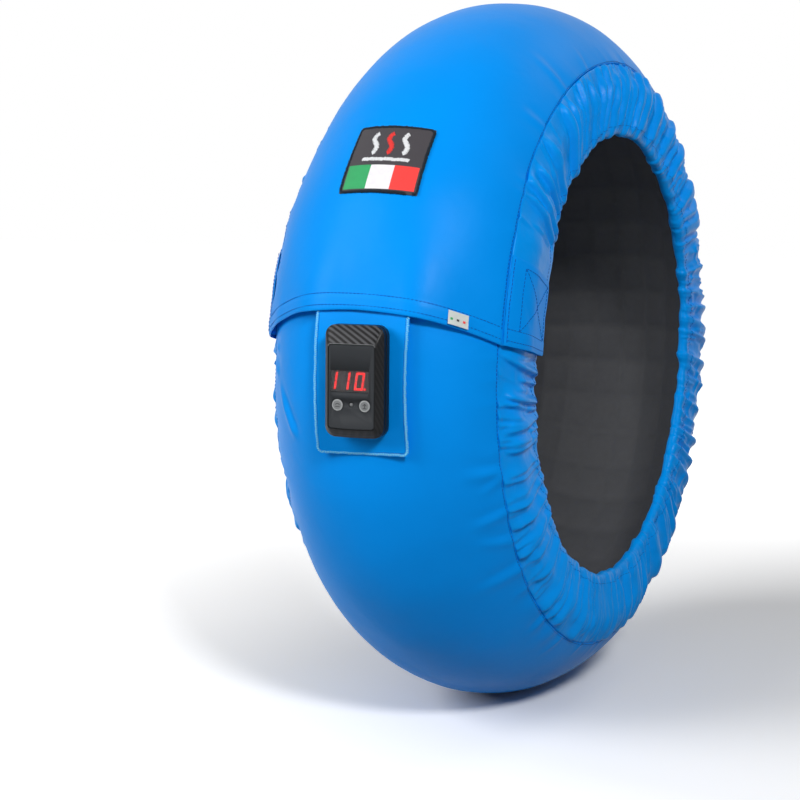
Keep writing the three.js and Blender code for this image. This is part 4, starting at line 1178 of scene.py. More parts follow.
def build_skirt_threads(side_name):
    """The row that closes the hem's casing."""
    side = SIDES[side_name]
    rings = np.linspace(FLAP_EDGE + 0.5, 371, 4000)
    row = FLANK_LENGTH - 5 * MM
    height = skirt_heights(np.array(row), rings, side)
    path = on_flank(row, rings, height + 0.1 * MM, side)
    above = on_flank(row, rings, height + 1.1 * MM, side)
    threads = seam_threads(
        "hem_stitches_" + side_name, [(path, normals_of(path, above))], finishes()["thread"],
        radius=0.8 * sewing().thread_radius,
    )
    return finished(threads, "skirt_nylon")


# Flap: corner tabs and tapes

def tab_slack(length, ring):
    """Soft hollows between the tab's rows of stitches."""
    across = np.clip(length / (0.62 * FLANK_LENGTH), 0, 1)
    up = np.clip((ring - TAB_FOOT) / (TAB_HEAD - TAB_FOOT), 0, 1)
    return 0.8 * MM * np.abs(np.sin(2 * math.pi * (across + up))) * np.sin(math.pi * up)


def tab_hem(rings):
    """The folded hem's extra height along the tab's foot."""
    return 0.5 * MM * (1 - smooth(rings, TAB_FOOT + 1.9, TAB_FOOT + 2.7))


def flank_slab(name, side, lengths, rings, low, high, material, angle=40):
    """A closed slab of cloth or tape on the flank, between two depths outside it."""
    outer = on_flank(lengths, rings, high, side)
    inner = on_flank(lengths, rings, low, side)
    if side < 0:
        outer = outer[:, ::-1]
        inner = inner[:, ::-1]
    flat_u = arc_length(rings, FLANK_MIDDLE_RADIUS)
    return slab_object(name, outer, inner, flat_u, lengths, material, angle)


def build_tab(side_name):
    side = SIDES[side_name]
    rings = np.linspace(TAB_FOOT, TAB_HEAD, 44)[:, None]
    lengths = np.linspace(0.3 * MM, FLANK_LENGTH - 0.3 * MM, 56)[None, :]
    edge = np.minimum(rings - TAB_FOOT, TAB_HEAD - rings) * 4.5 * MM
    rounding = 0.5 * MM * np.exp(-((edge / (0.7 * MM)) ** 2))
    top = LAYER_GAP + TAB_THICKNESS + tab_hem(rings) + tab_slack(lengths, rings) * 0.7 - rounding
    top = top - 0.6 * MM * smooth(rings, TAB_HEAD - 1.5, TAB_HEAD)
    top = top - 0.9 * MM * (1 - smooth(lengths, 0, 5 * MM))
    name = "flap_corner_" + side_name
    tab = flank_slab(name, side, lengths, rings, LAYER_GAP, top, finishes()["patch"], 60)
    return finished(tab, "cover_nylon", "corner_tab_" + side_name)


def tab_row(side, start, end):
    """A straight row of stitches on the tab, between two places given by length and ring angle."""
    share = np.linspace(0, 1, 60)
    lengths = mix(start[0], end[0], share)
    rings = mix(start[1], end[1], share)
    height = LAYER_GAP + TAB_THICKNESS + 0.7 * tab_slack(lengths, rings) + 0.15 * MM
    height = height + tab_hem(rings)
    path = on_flank(lengths, rings, height, side)
    above = on_flank(lengths, rings, height + 1 * MM, side)
    return path, normals_of(path, above)


def build_tab_threads(side_name):
    """A row beside the seam, the hem's row and the crossed box."""
    side = SIDES[side_name]
    left = 15 * MM
    right = FLANK_LENGTH - 5 * MM
    foot = TAB_FOOT + FLAP_HEM
    head = TAB_HEAD - 1.2
    seam = 2.6 * MM
    edge = TAB_FOOT + 0.75
    box = [(left, foot), (right, foot), (right, head), (left, head)]
    rows = [tab_row(side, a, b) for a, b in zip(box, box[1:] + box[:1])]
    rows += [tab_row(side, box[0], box[2]), tab_row(side, box[1], box[3])]
    rows.append(tab_row(side, (seam, TAB_FOOT + 0.4), (seam, TAB_HEAD - 0.3)))
    rows.append(tab_row(side, (seam, edge), (FLANK_LENGTH - 2 * MM, edge)))
    rows.append(tab_row(side, (seam, foot), (left, foot)))
    threads = seam_threads("tab_stitches_" + side_name, rows, finishes()["thread"])
    return finished(threads, "cover_nylon")


def build_closure():
    """Loop tape on the strip's inner end, and hook tape under the flap."""
    sections = np.linspace(-TAPE_HALF_ANGLE, TAPE_HALF_ANGLE, 60)[None, :]
    rings = np.linspace(TAPE_FOOT, TAPE_HEAD, 40)[:, None]
    flat = crown_flat(sections, rings)
    loop_foot = CROWN_RADIUS + LAYER_GAP
    hook_top = CROWN_RADIUS - COVER_THICKNESS - 1.0 * MM
    loop = slab_object(
        "loop_tape", on_crown(sections, rings, loop_foot + TAPE_THICKNESS),
        on_crown(sections, rings, loop_foot), *flat, finishes()["tape"],
    )
    hook = slab_object(
        "hook_tape", on_flap(sections, rings, hook_top), on_flap(sections, rings, hook_top - TAPE_THICKNESS),
        *flat, finishes()["tape"],
    )
    finished(loop, "hook_and_loop", "closure_loop_tape")
    finished(hook, "hook_and_loop", "closure_hook_tape")


def build_tab_tapes(side_name):
    """Hook tape under the corner tab, and the loop tape that shows a little below it. The loop tape is real,
    and its black band under the tab's corner also stands in for painted shade in the gap there.
    """
    side = SIDES[side_name]
    # The loop tape starts 2.5 degrees below the flap's edge so that its black band shows: real tape that also
    # stands in for painted shade under the tab's corner.
    loop_foot = 360 + FLAP_EDGE - 2.5
    hook_top = -SKIRT_THICKNESS - LAYER_GAP
    layers = {
        "loop": (loop_foot, loop_foot + 11, LAYER_GAP, LAYER_GAP + TAPE_THICKNESS),
        "hook": (TAB_FOOT + 1, TAB_HEAD - 1, hook_top - TAPE_THICKNESS, hook_top),
    }
    for kind, (start, end, low, high) in layers.items():
        rings = np.linspace(start, end, 30)[:, None]
        lengths = np.linspace(2.5 * MM, FLANK_LENGTH - 2 * MM, 40)[None, :]
        name = "tab_" + kind + "_tape_" + side_name
        tape = flank_slab(name, side, lengths, rings, low, high, finishes()["tape"])
        finished(tape, "hook_and_loop", "tab_" + kind + "_" + side_name)


# Patches

def patch_height(across, ring):
    """Waves along the patch's free edges. It stays flat behind the control unit."""
    free_side = smooth(np.abs(across), 28 * MM, 43 * MM)
    free_foot = 1 - smooth(ring, PATCH_FOOT, PATCH_FOOT + 2)
    around = arc_length(ring, OUTER_RADIUS)
    wave = cloth_noise(around / 0.022, across / 0.03 + 4, sewing().seed + 31) - 0.35
    covered = 1 - smooth(ring, PATCH_HEAD - 3.5, PATCH_HEAD - 1)
    return 1.7 * MM * wave * np.maximum(free_side, free_foot) * covered


def build_patch():
    """The stiff patch that carries the control unit, with its overlock and chain stitch."""
    across = np.linspace(-PATCH_WIDTH / 2, PATCH_WIDTH / 2 - PATCH_TRIM, 70)[None, :]
    ring = np.linspace(PATCH_FOOT + PATCH_LIFT, PATCH_HEAD, 100)[:, None]
    side = np.linspace(-1, 1, 70)[None, :]
    corner = 1 - smooth(ring, PATCH_FOOT + PATCH_LIFT, PATCH_FOOT + PATCH_LIFT + 1.2)
    drawn = across * (1 - 0.035 * corner * np.abs(side) ** 6)
    height = patch_height(drawn, ring)
    outer = on_patch(drawn, ring, PATCH_OUTER + height)
    inner = on_patch(drawn, ring, PATCH_INNER + height)
    flat_u = arc_length(ring, OUTER_RADIUS)
    patch = slab_object("carrier_patch", outer, inner, flat_u, across, finishes()["patch"], 60)
    finished(patch, "cover_nylon", "pod_patch")
    border_x, border_ring = patch_border().T
    height = PATCH_OUTER + patch_height(border_x, border_ring)
    path = on_patch(border_x, border_ring, height - 0.2 * MM)
    above = on_patch(border_x, border_ring, height + 1 * MM)
    middle = on_patch(border_x * 0.5, mix(border_ring, 3.0, 0.5), height - 0.2 * MM)
    normals = normals_of(path, above)
    inward = unit(np.cross(np.gradient(path, axis=0), normals))
    inward *= np.sign(np.sum(inward * (middle - path), axis=1))[:, None]
    overlock = edge_threads(
        "patch_overlock", path + inward * 0.9 * MM, normals, inward,
        finishes()["overlock"], 1.5 * MM, 2.7 * MM, 0.42 * MM, sewing().seed,
    )
    finished(overlock, "cover_nylon")
    chain_path = path + inward * 2.6 * MM
    chain = seam_threads("patch_chain", [(chain_path, normals)], finishes()["thread"], 2.2 * MM)
    finished(chain, "cover_nylon")


def patch_border():
    """The patch's free border as (across, ring): down the left edge, along the foot and up the right."""
    half = PATCH_WIDTH / 2 - PATCH_TRIM / 2 - 0.3 * MM
    corner = 5 * MM
    ring_of = 1 / (math.radians(1) * OUTER_RADIUS)
    foot = PATCH_FOOT + PATCH_LIFT + 0.3 * MM * ring_of
    top = 11.6
    turn = np.radians(np.linspace(0, 90, 12))
    left = np.stack([np.full(60, -half), np.linspace(top, foot + corner * ring_of, 60)], axis=-1)
    turn_left = np.stack([
        -half + corner * (1 - np.cos(turn)), foot + corner * ring_of * (1 - np.sin(turn))
    ], axis=-1)
    bottom_x = np.linspace(-half + corner, half - corner, 40)
    bottom = np.stack([bottom_x, np.full(40, foot)], axis=-1)
    right_side = np.concatenate([left, turn_left[1:]])[::-1] * np.array([-1, 1])
    border = np.concatenate([left, turn_left[1:], bottom[1:-1], right_side])
    border[:, 0] -= PATCH_TRIM / 2
    return border


def on_label(a, b, height):
    """A place on the label: a runs from left to right and b from its foot to its top, both 0 to 1."""
    section = mix(LABEL_SECTIONS[0], LABEL_SECTIONS[1], a)
    ring = mix(LABEL_RINGS[0], LABEL_RINGS[1], b)
    return on_flap(section, ring, CROWN_RADIUS + LAYER_GAP + height)


def build_label():
    """Woven label with a black field, a band of three colours and heat waves."""
    thirds = mix(LABEL_MARGIN, 1 - LABEL_MARGIN, np.array([0, 1, 2, 3]) / 3)
    a_stops = np.unique(np.concatenate([np.linspace(0, 1, 31), thirds]))
    b_stops = np.unique(np.concatenate([np.linspace(0, 1, 31), [LABEL_MARGIN, LABEL_BAND_TOP]]))
    a, b = a_stops[None, :], b_stops[:, None]
    outer = on_label(a, b, LABEL_THICKNESS)
    inner = on_label(a, b, 0.0)
    side = LABEL_FLAT[0]
    kinds = [finishes()[key] for key in ("label", "label_green", "label_white", "label_red")]
    label = slab_object("heat_label", outer, inner, b * side, a * side, kinds, 50)
    cells_a = (a_stops[1:] + a_stops[:-1]) / 2
    cells_b = (b_stops[1:] + b_stops[:-1]) / 2
    in_band = (cells_b > LABEL_MARGIN) & (cells_b < LABEL_BAND_TOP)
    third = np.searchsorted(thirds, cells_a)
    third = np.where((third > 0) & (third < 4), third, 0)
    indices = np.where(in_band[:, None], third[None, :], 0).ravel()
    for polygon, index in zip(label.data.polygons, indices):
        polygon.material_index = int(index)
    finished(label, "label", "woven_label")
    build_label_border()
    build_heat_waves()


def build_label_border():
    """Merrowed edge: short threads close together, right round the label."""
    turn = np.radians(np.linspace(0, 90, 6))
    near = LABEL_CORNER
    far = 1 - LABEL_CORNER
    path = []
    for centre_a, centre_b, start in ((far, near, -90), (far, far, 0), (near, far, 90), (near, near, 180)):
        angle = turn + math.radians(start)
        corner_a = centre_a + LABEL_CORNER * np.cos(angle)
        corner_b = centre_b + LABEL_CORNER * np.sin(angle)
        path.append(np.stack([corner_a, corner_b], axis=-1))
    outline = np.concatenate([*path, path[0][:1]])
    dense = np.concatenate([np.linspace(p, q, 12)[:-1] for p, q in zip(outline[:-1], outline[1:])])
    a, b = dense.T
    points = on_label(a, b, LABEL_THICKNESS)
    above = on_label(a, b, LABEL_THICKNESS + 1 * MM)
    inner = on_label(mix(a, 0.5, 0.1), mix(b, 0.5, 0.1), LABEL_THICKNESS)
    inward = normals_of(points, inner)
    border = edge_threads(
        "label_border", points + inward * 0.9 * MM, normals_of(points, above), inward,
        finishes()["border"], 0.75 * MM, 3.0 * MM, 0.5 * MM, sewing().seed + 1,
    )
    finished(border, "label")


def satin_stroke(points_a, points_b, width, material, name):
    """A stroke of satin stitches that lie across it, on the label."""
    share = np.linspace(0, 1, 200)
    dense_a = np.interp(share, np.linspace(0, 1, len(points_a)), points_a)
    dense_b = np.interp(share, np.linspace(0, 1, len(points_b)), points_b)
    path = on_label(dense_a, dense_b, LABEL_THICKNESS)
    above = on_label(dense_a, dense_b, LABEL_THICKNESS + 1 * MM)
    up = normals_of(path, above)
    across = unit(np.cross(up, np.gradient(path, axis=0)))
    stroke = edge_threads(name, path, up, across, material, 0.55 * MM, width, 0.42 * MM, 5)
    return finished(stroke, "label")


def build_heat_waves():
    """Three rising waves over a bar, a common sign for heat."""
    rise = np.linspace(0, 1, 40)
    sway = 0.035 * np.sin(2 * math.pi * rise)
    white = finishes()["white_thread"]
    waves = ((0.3, white), (0.5, finishes()["red_thread"]), (0.7, white))
    for number, (middle, thread) in enumerate(waves, 1):
        satin_stroke(middle + sway, mix(0.56, 0.88, rise), 5 * MM, thread, "heat_wave_" + str(number))
    satin_stroke(np.array([0.2, 0.8]), np.array([0.47, 0.47]), 4 * MM, white, "heat_bar")


def build_tag():
    """Small ribbon tag that is sewn to the flap's hem by its upper edge."""
    sections = np.linspace(*TAG_SECTIONS, 24)[None, :]
    rings = np.linspace(*TAG_RINGS, 18)[:, None]
    share = np.linspace(0, 1, 18)[:, None]
    curl = 0.9 * MM * (1 - share) ** 2 + 0.3 * MM * np.sin(np.linspace(0, 5, 24))[None, :] * (1 - share)
    base = CROWN_RADIUS + LAYER_GAP + 0.6 * MM + curl
    outer = on_flap(sections, rings, base + 0.5 * MM)
    inner = on_flap(sections, rings, base)
    tag = slab_object("ribbon_tag", outer, inner, *crown_flat(sections, rings), finishes()["tag"])
    finished(tag, "tag", "hem_tag")
    marks = {"green": (37.0, "label_green"), "red": (41.8, "label_red"), "grey": (39.4, "label")}
    for name, (section, colour) in marks.items():
        mark_sections = np.linspace(section - 0.45, section + 0.45, 4)[None, :]
        mark_rings = np.linspace(11.75, 12.05, 4)[:, None]
        height = CROWN_RADIUS + LAYER_GAP + 1.75 * MM
        mark = slab_object(
            "tag_mark_" + name, on_flap(mark_sections, mark_rings, height),
            on_flap(mark_sections, mark_rings, height - 0.3 * MM), mark_rings * MM, mark_sections * MM,
            finishes()[colour],
        )
        finished(mark, "tag")


# Inside of the strip

def crown_slab(name, half_angle, rings, inner, outer, material, quilt=None, columns=65):
    """A closed slab on the crown's inside, between two section radii."""
    sections = np.linspace(-half_angle, half_angle, columns)[None, :]
    ring = np.asarray(rings)[:, None]
    puff = 0 if quilt is None else quilt(sections, ring)
    outside = on_crown(sections, ring, outer)
    inside = on_crown(sections, ring, inner - puff)
    return slab_object(name, outside, inside, *crown_flat(sections, ring), material)


def quilting(sections, rings):
    """Soft squares between the lining's rows of stitches."""
    across = np.abs(np.sin(math.pi * (sections + CROWN_HALF_ANGLE) / 14.5))
    along = np.abs(np.sin(math.pi * (rings - LAYER_START) / 7.16))
    return 2.2 * MM * np.sqrt(across * along)


def build_inside():
    """Insulation blanket, heating tape and quilted lining."""
    rings = np.arange(LAYER_START, STRIP_END + 0.1, 0.895)
    blanket = crown_slab(
        "insulation_blanket", INSIDE_HALF_ANGLE, rings[::2], *BLANKET_RADII, finishes()["felt"], columns=41
    )
    finished(blanket, "felt", "insulation_felt")
    lining = crown_slab(
        "quilted_lining", INSIDE_HALF_ANGLE, rings, *LINING_RADII, finishes()["lining"], quilting
    )
    finished(lining, "lining", "inner_lining")
    build_heating_tape()


def heating_strip(name, sections, rings):
    """One flat run or bar of the heating tape."""
    inner, outer = [on_crown(sections, rings, radius) for radius in HEATER_RADII]
    strip = slab_object(name, outer, inner, *crown_flat(sections, rings), finishes()["heater"])
    return finished(strip, "heating_tape")


def build_heating_tape():
    """Four runs round the ring, joined by cross bars."""
    half = HEATER_HALF_ANGLE
    runs = {"outer_left": -36.2, "inner_left": -11.5, "inner_right": 11.5, "outer_right": 36.2}
    first = None
    for name, middle in runs.items():
        sections = np.linspace(middle - half, middle + half, 5)[None, :]
        rings = np.linspace(32, 374 if "inner" in name else 384, 300)[:, None]
        run = heating_strip("heater_run_" + name, sections, rings)
        first = first or run
    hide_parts("heating_tape")
    bars = {"left": (-39, -8.7, 32), "right": (8.7, 39, 32), "rear": (-39, 39, 382)}
    for name, (start, end, ring) in bars.items():
        sections = np.linspace(start, end, 40)[None, :]
        rings = np.linspace(ring, ring + 2, 4)[:, None]
        heating_strip("heater_bar_" + name, sections, rings)


def build_elastic(side_name):
    """Flat elastic inside the hem's casing, crimped by the gathers."""
    side = SIDES[side_name]
    rings = np.arange(43, STRIP_END, 0.5)
    sides = 12
    turn = np.radians(np.arange(sides) * 360 / sides)
    middle_r = HEM_RADIUS + HEM_LOOP_RADIUS
    wide = 2.8 * MM * np.sign(np.cos(turn)) * np.abs(np.cos(turn)) ** 0.5
    thick = 0.6 * MM * np.sign(np.sin(turn)) * np.abs(np.sin(turn)) ** 0.5
    crimp = 0.5 * MM * np.sin(rings * 5.3)[:, None]
    x = side * (HEM_HALF_WIDTH - HEM_LOOP_RADIUS) + wide[None, :]
    points = on_ring(x, middle_r + thick[None, :] + crimp, rings[:, None])
    mesh = loft_mesh("elastic", points, 50)
    set_uv(mesh, np.repeat(arc_length(rings, middle_r), sides), np.tile(wide, len(rings)))
    band = make_object("elastic_band_" + side_name, mesh, finishes()["elastic"])
    return finished(band, "elastic", "hem_elastic_" + side_name)


# Control unit

def pod_outline(inset, level):
    """The control unit's outline, drawn in by an inset."""
    width, height = [size - 2 * inset for size in POD_SIZE]
    return rounded_outline(width, height, POD_CORNER - inset, level, bow=0.5 * MM)


def face_outline(inset, level):
    """The flat face's outline, drawn in by an inset."""
    width, height = [size - 2 * inset for size in FACE_SIZE]
    corner = FACE_CORNER - inset / 2
    return rounded_outline(width, height, corner, level, FACE_CENTRE_Y, bow=0.7 * MM)


def cut_with(made, tools):
    """Cuts closed tool objects out of a piece, and removes them."""
    for tool in tools:
        cutter = made.modifiers.new("cut", "BOOLEAN")
        cutter.operation = "DIFFERENCE"
        cutter.solver = "EXACT"
        cutter.object = tool
    bpy.context.view_layer.update()
    found = made.evaluated_get(bpy.context.evaluated_depsgraph_get())
    mesh = bpy.data.meshes.new_from_object(found)
    made.modifiers.clear()
    made.data = mesh
    for tool in tools:
        bpy.data.objects.remove(tool)
    return made


def disc_outline(radius, level, x, y, sides=KEY_SIDES):
    turn = np.arange(sides) * 2 * math.pi / sides
    return np.stack([x + radius * np.cos(turn), y + radius * np.sin(turn), np.full(sides, level)], axis=-1)


def tool_object(outlines):
    """A closed body that cuts a hole, in the control unit's axes."""
    mesh = loft_mesh("tool", outlines)
    mesh.transform(POD)
    made = bpy.data.objects.new("tool", mesh)
    bpy.context.scene.collection.objects.link(made)
    return made


def face_tools():
    """Tools for the holes of the keys, the lamp and the window."""
    levels = (11 * MM, 23 * MM)
    tools = [
        tool_object([disc_outline(BUTTON_RADIUS + 0.2 * MM, level, x, BUTTON_Y) for level in levels])
        for x in (-BUTTON_X, BUTTON_X)
    ]
    tools.append(tool_object([disc_outline(1.8 * MM, level, 0, INDICATOR_Y) for level in levels]))
    width, height = [size + 0.6 * MM for size in WINDOW_SIZE]
    window_x, window_y = WINDOW_CENTRE
    window = [rounded_outline(width, height, 0.4 * MM, level, window_y, 3) for level in levels]
    for outline in window:
        outline[:, 0] += window_x
    tools.append(tool_object(window))
    return tools


def build_front_shell():
    """Straight sides, a carbon bevel and a flat face with a recess for the film. The bevel's upward faces get
    a lighter carbon than its other faces, as painted light and painted shade, and the face's top edge gets a
    painted highlight.
    """
    steps = [0.0, 0.035, 0.1, 0.35, 0.65, 0.9, 0.965, 1.0]
    rise = POD_DEPTH - POD_STRAIGHT
    sides = [pod_outline(0.4 * MM, FRONT_SHELL_START), pod_outline(0, FRONT_SHELL_START + 0.4 * MM)]
    sides.append(pod_outline(0, POD_STRAIGHT - 1 * MM))
    low = pod_outline(0, POD_STRAIGHT)
    high = face_outline(0, POD_DEPTH)
    bevel = []
    for step in steps:
        outline = mix(low, high, step)
        outline[:, 2] = POD_STRAIGHT + rise * step + 0.5 * MM * math.sin(math.pi * step)
        bevel.append(outline)
    floor = POD_DEPTH - OVERLAY_THICKNESS - 0.3 * MM
    seat = OVERLAY_MARGIN - 0.3 * MM
    insets = ((0.3 * MM, POD_DEPTH + 0.05 * MM), (seat, POD_DEPTH), (seat, floor))
    outlines = sides + bevel + [face_outline(inset, level) for inset, level in insets]
    mesh = loft_mesh("front_shell", outlines, 28, capped=False)
    set_uv_of_bevel(mesh)
    count = len(low)
    first = len(sides) * count
    last = first + (len(bevel) - 1) * count
    kinds = []
    for index, polygon in enumerate(mesh.polygons):
        faces_up = polygon.normal.y > abs(polygon.normal.x)
        if first <= index < last:
            # Upward bevel faces take the lighter carbon and the others the darker copy: painted light and
            # painted shade.
            kinds.append(1 if faces_up else 2)
        # Only the band along the face's top edge gets the light grey: a painted highlight.
        elif last <= index < last + count and polygon.center.y > FACE_CENTRE_Y + 0.47 * FACE_SIZE[1]:
            kinds.append(3)
        else:
            kinds.append(0)
    names = ("shell", "carbon", "dim_carbon", "rim")
    shell = pod_object("unit_front_housing", mesh, [finishes()[name] for name in names])
    shell.data.polygons.foreach_set("material_index", kinds)
    return finished(shell, "shell_plastic", "pod_front_shell")


def set_uv_of_bevel(mesh):
    """Flat coordinates for the twill: across and along the bevel."""
    points = np.zeros(len(mesh.vertices) * 3)
    mesh.vertices.foreach_get("co", points)
    points = points.reshape(-1, 3)
    slope = (POD_DEPTH - points[:, 2]) * 1.6
    set_uv(mesh, points[:, 0], points[:, 1] + slope)


def build_back_shell():
    """A tray with rounded edges under the parting line."""
    rim = BACK_SHELL_DEPTH
    levels = [
        (2.2 * MM, 0.0), (1.2 * MM, 0.15 * MM), (0.35 * MM, 0.9 * MM), (0, 2 * MM),
        (0, rim - 0.4 * MM), (0.4 * MM, rim), (2 * MM, rim), (2 * MM, 2 * MM),
    ]
    mesh = loft_mesh("back_shell", [pod_outline(inset, level) for inset, level in levels], 30)
    shell = pod_object("unit_back_housing", mesh, finishes()["shell"])
    return finished(shell, "shell_plastic", "pod_back_shell")


def build_overlay():
    """The matt film on the face, with holes for the keys, the lamp and the window."""
    levels = [
        (0.0, POD_DEPTH - OVERLAY_THICKNESS), (0.0, POD_DEPTH - 0.15 * MM), (0.15 * MM, POD_DEPTH),
    ]
    mesh = loft_mesh("overlay", [face_outline(OVERLAY_MARGIN + inset, level) for inset, level in levels], 25)
    film = pod_object("unit_face_film", mesh, finishes()["face"])
    cut_with(film, face_tools())
    return finished(film, "face_plastic", "pod_overlay")


def build_seat():
    """Rubber seat: flat against the unit and hollowed to the patch."""
    half = np.array(POD_SIZE) / 2 - SEAT_INSET
    top = rounded_outline(2 * half[0], 2 * half[1], POD_CORNER - SEAT_INSET, -0.3 * MM)
    low = top.copy()
    inverse = POD.inverted()
    for number, (x, y, _) in enumerate(top):
        ring = POD_RING + math.degrees(y / OUTER_RADIUS)
        place = Vector(on_patch(x, ring, PATCH_OUTER + 0.25 * MM))
        low[number, 2] = (inverse @ place).z
    bulge = mix(low, top, 0.5)
    bulge[:, :2] *= 1.012
    mesh = loft_mesh("seat", [low, bulge, top], 40)
    return finished(pod_object("unit_seat", mesh, finishes()["rubber"]), "rubber", "pod_seat")


SEGMENTS = {"1": "BC", "0": "ABCDEF"}


def segment_outline(letter, width, height, thick):
    """The four corners of one segment of a digit, from its lower left."""
    half = height / 2
    if letter in "AD":
        low = height - thick if letter == "A" else 0.0
        high = low + thick
        wide, narrow = 0.1 * thick, 0.6 * thick
        return [(wide, low), (width - wide, low), (width - narrow, high), (narrow, high)]
    x = width - thick if letter in "BC" else 0.0
    y = half if letter in "BF" else 0.0
    low = y + 0.25 * thick
    high = y + half - 0.2 * thick
    return [(x, low), (x + thick, low), (x + thick, high), (x, high)]


def build_digits():
    """The display's lit digits, slanted, on the module behind the window."""
    width = 7.9 * MM
    height = 14.6 * MM
    thick = 1.75 * MM
    slant = 0.15
    foot = -6.8 * MM
    level = POD_DEPTH - 2.45 * MM
    points = []
    faces = []
    for symbol, left in (("1", -22.4 * MM), ("1", -11.2 * MM), ("0", 1.6 * MM)):
        for letter in SEGMENTS[symbol]:
            base = len(points)
            corners = segment_outline(letter, width, height, thick)
            for depth in (0.0, 0.25 * MM):
                points += [(left + x + slant * y, foot + y, level + depth) for x, y in corners]
            faces += [[base, base + 3, base + 2, base + 1], [base + 4, base + 5, base + 6, base + 7]]
            faces += [[base + i, base + (i + 1) % 4, base + 4 + (i + 1) % 4, base + 4 + i] for i in range(4)]
    dot = disc_outline(1.0 * MM, level, 11.2 * MM, foot + 1 * MM, 16)
    base = len(points)
    points += [tuple(p) for p in dot] + [tuple(p + np.array([0, 0, 0.25 * MM])) for p in dot]
    faces += [list(range(base + 15, base - 1, -1)), list(range(base + 16, base + 32))]
    faces += [[base + i, base + (i + 1) % 16, base + 16 + (i + 1) % 16, base + 16 + i] for i in range(16)]
    mesh = mesh_of("digits", points, faces, 30)
    return finished(pod_object("display_digits", mesh, finishes()["digit"]), "module_plastic")


def turned_outlines(profile, x, y, sides=KEY_SIDES):
    """Circles round one centre, from a profile of radii and levels."""
    return [disc_outline(radius, level, x, y, sides) for radius, level in profile]


def build_buttons():
    """A key with a raised ring and a plain sign, on each side."""
    top = POD_DEPTH + BUTTON_PROUD
    foot = POD_DEPTH - 5 * MM
    for name, side in SIDES.items():
        x = side * BUTTON_X
        profile = [
            (BUTTON_RADIUS, foot), (BUTTON_RADIUS, POD_DEPTH), (BUTTON_RADIUS - 0.1 * MM, top - 0.12 * MM),
            (BUTTON_RADIUS - 0.35 * MM, top), (BUTTON_RADIUS - 1.1 * MM, top),
            (BUTTON_RADIUS - 1.3 * MM, top - 0.3 * MM),
        ]
        mesh = loft_mesh("key", turned_outlines(profile, x, BUTTON_Y), 30)
        kinds = [finishes()["key"], finishes()["key_ring"]]
        key = pod_object("key_" + name, mesh, kinds, "button_" + name)
        for index, polygon in enumerate(key.data.polygons):
            if 2 * KEY_SIDES <= index < 4 * KEY_SIDES:
                polygon.material_index = 1
        finished(key, "key_plastic", "button_" + name)
        build_key_sign(name, x, top - 0.3 * MM)


def build_key_sign(name, x, level):
    """An arc with a stem on the left key and an arrowhead on the right one, both plain signs."""
    strokes = []
    if name == "left":
        turn = np.radians(np.linspace(30, 150, 14))
        strokes.append(np.stack([2.1 * MM * np.cos(turn), 2.1 * MM * np.sin(turn) - 0.8 * MM], axis=-1))
        strokes.append(np.array([[-1.9, -1.2], [1.9, -1.2]]) * MM)
    else:
        strokes.append(np.array([[0, -1.8], [0, 1.9]]) * MM)
        strokes.append(np.array([[-1.6, 0.2], [0, 1.9], [1.6, 0.2]]) * MM)
        strokes.append(np.array([[-1.6, -1.9], [1.6, -1.9]]) * MM)
    points = []
    faces = []
    half = 0.34 * MM
    for stroke in strokes:
        along = np.gradient(stroke, axis=0)
        along /= np.linalg.norm(along, axis=1, keepdims=True)
        side = np.stack([-along[:, 1], along[:, 0]], axis=-1) * half
        base = len(points)
        for height in (0.0, 0.25 * MM):
            for edge in (stroke + side, stroke - side):
                points += [(x + px, BUTTON_Y + py, level + height) for px, py in edge]
        count = len(stroke)
        corner = np.arange(4) * count + base
        for i in range(count - 1):
            a, b, c, d = corner + i
            faces += [[a, a + 1, b + 1, b], [c, d, d + 1, c + 1]]
            faces += [[a, c, c + 1, a + 1], [b, b + 1, d + 1, d]]
        for i, order in ((0, 1), (count - 1, -1)):
            a, b, c, d = corner + i
            faces.append([a, b, d, c][::order])
    mesh = mesh_of("sign", points, faces, 30)
    sign = pod_object("key_sign_" + name, mesh, finishes()["key_sign"], "button_" + name)
    return finished(sign, "key_plastic")


def build_lamp():
    """The round indicator between the keys."""
    profile = [(1.5 * MM, 8.1 * MM), (1.5 * MM, POD_DEPTH - 0.5 * MM), (1.1 * MM, POD_DEPTH - 0.2 * MM),
               (0.4 * MM, POD_DEPTH - 0.1 * MM)]
    mesh = loft_mesh("lamp", turned_outlines(profile, 0, INDICATOR_Y, 24), 60)
    return finished(pod_object("lamp_lens", mesh, finishes()["lamp"]), "display_glass", "indicator_light")


# Frame parts that stay

KEPT_FINISHES = {
    "display_window": "window",
    "display_module": "module",
    "pod_gasket": "rubber",
    "circuit_board": "board",
    "power_relay": "module",
    "terminal_block": "block",
    "switch_left": "module",
    "switch_right": "module",
    "backing_plate": "steel",
    "heater_terminal_left": "steel",
    "heater_terminal_right": "steel",
    "heater_lead_left": "jacket",
    "heater_lead_right": "jacket",
    "temperature_sensor": "steel",
    "mains_gland": "rubber",
    "mains_lead_inner": "black_jacket",
    **{"shell_screw_" + str(number): "steel" for number in range(1, 5)},
    **{"pod_rivet_" + str(number): "steel" for number in range(1, 5)},
}


def dress_frame():
    """Gives the frame's own parts their finishes."""
    for name, key in KEPT_FINISHES.items():
        mesh = frame["nodes"][name].data
        mesh.materials.clear()
        mesh.materials.append(finishes()[key])


# Stage

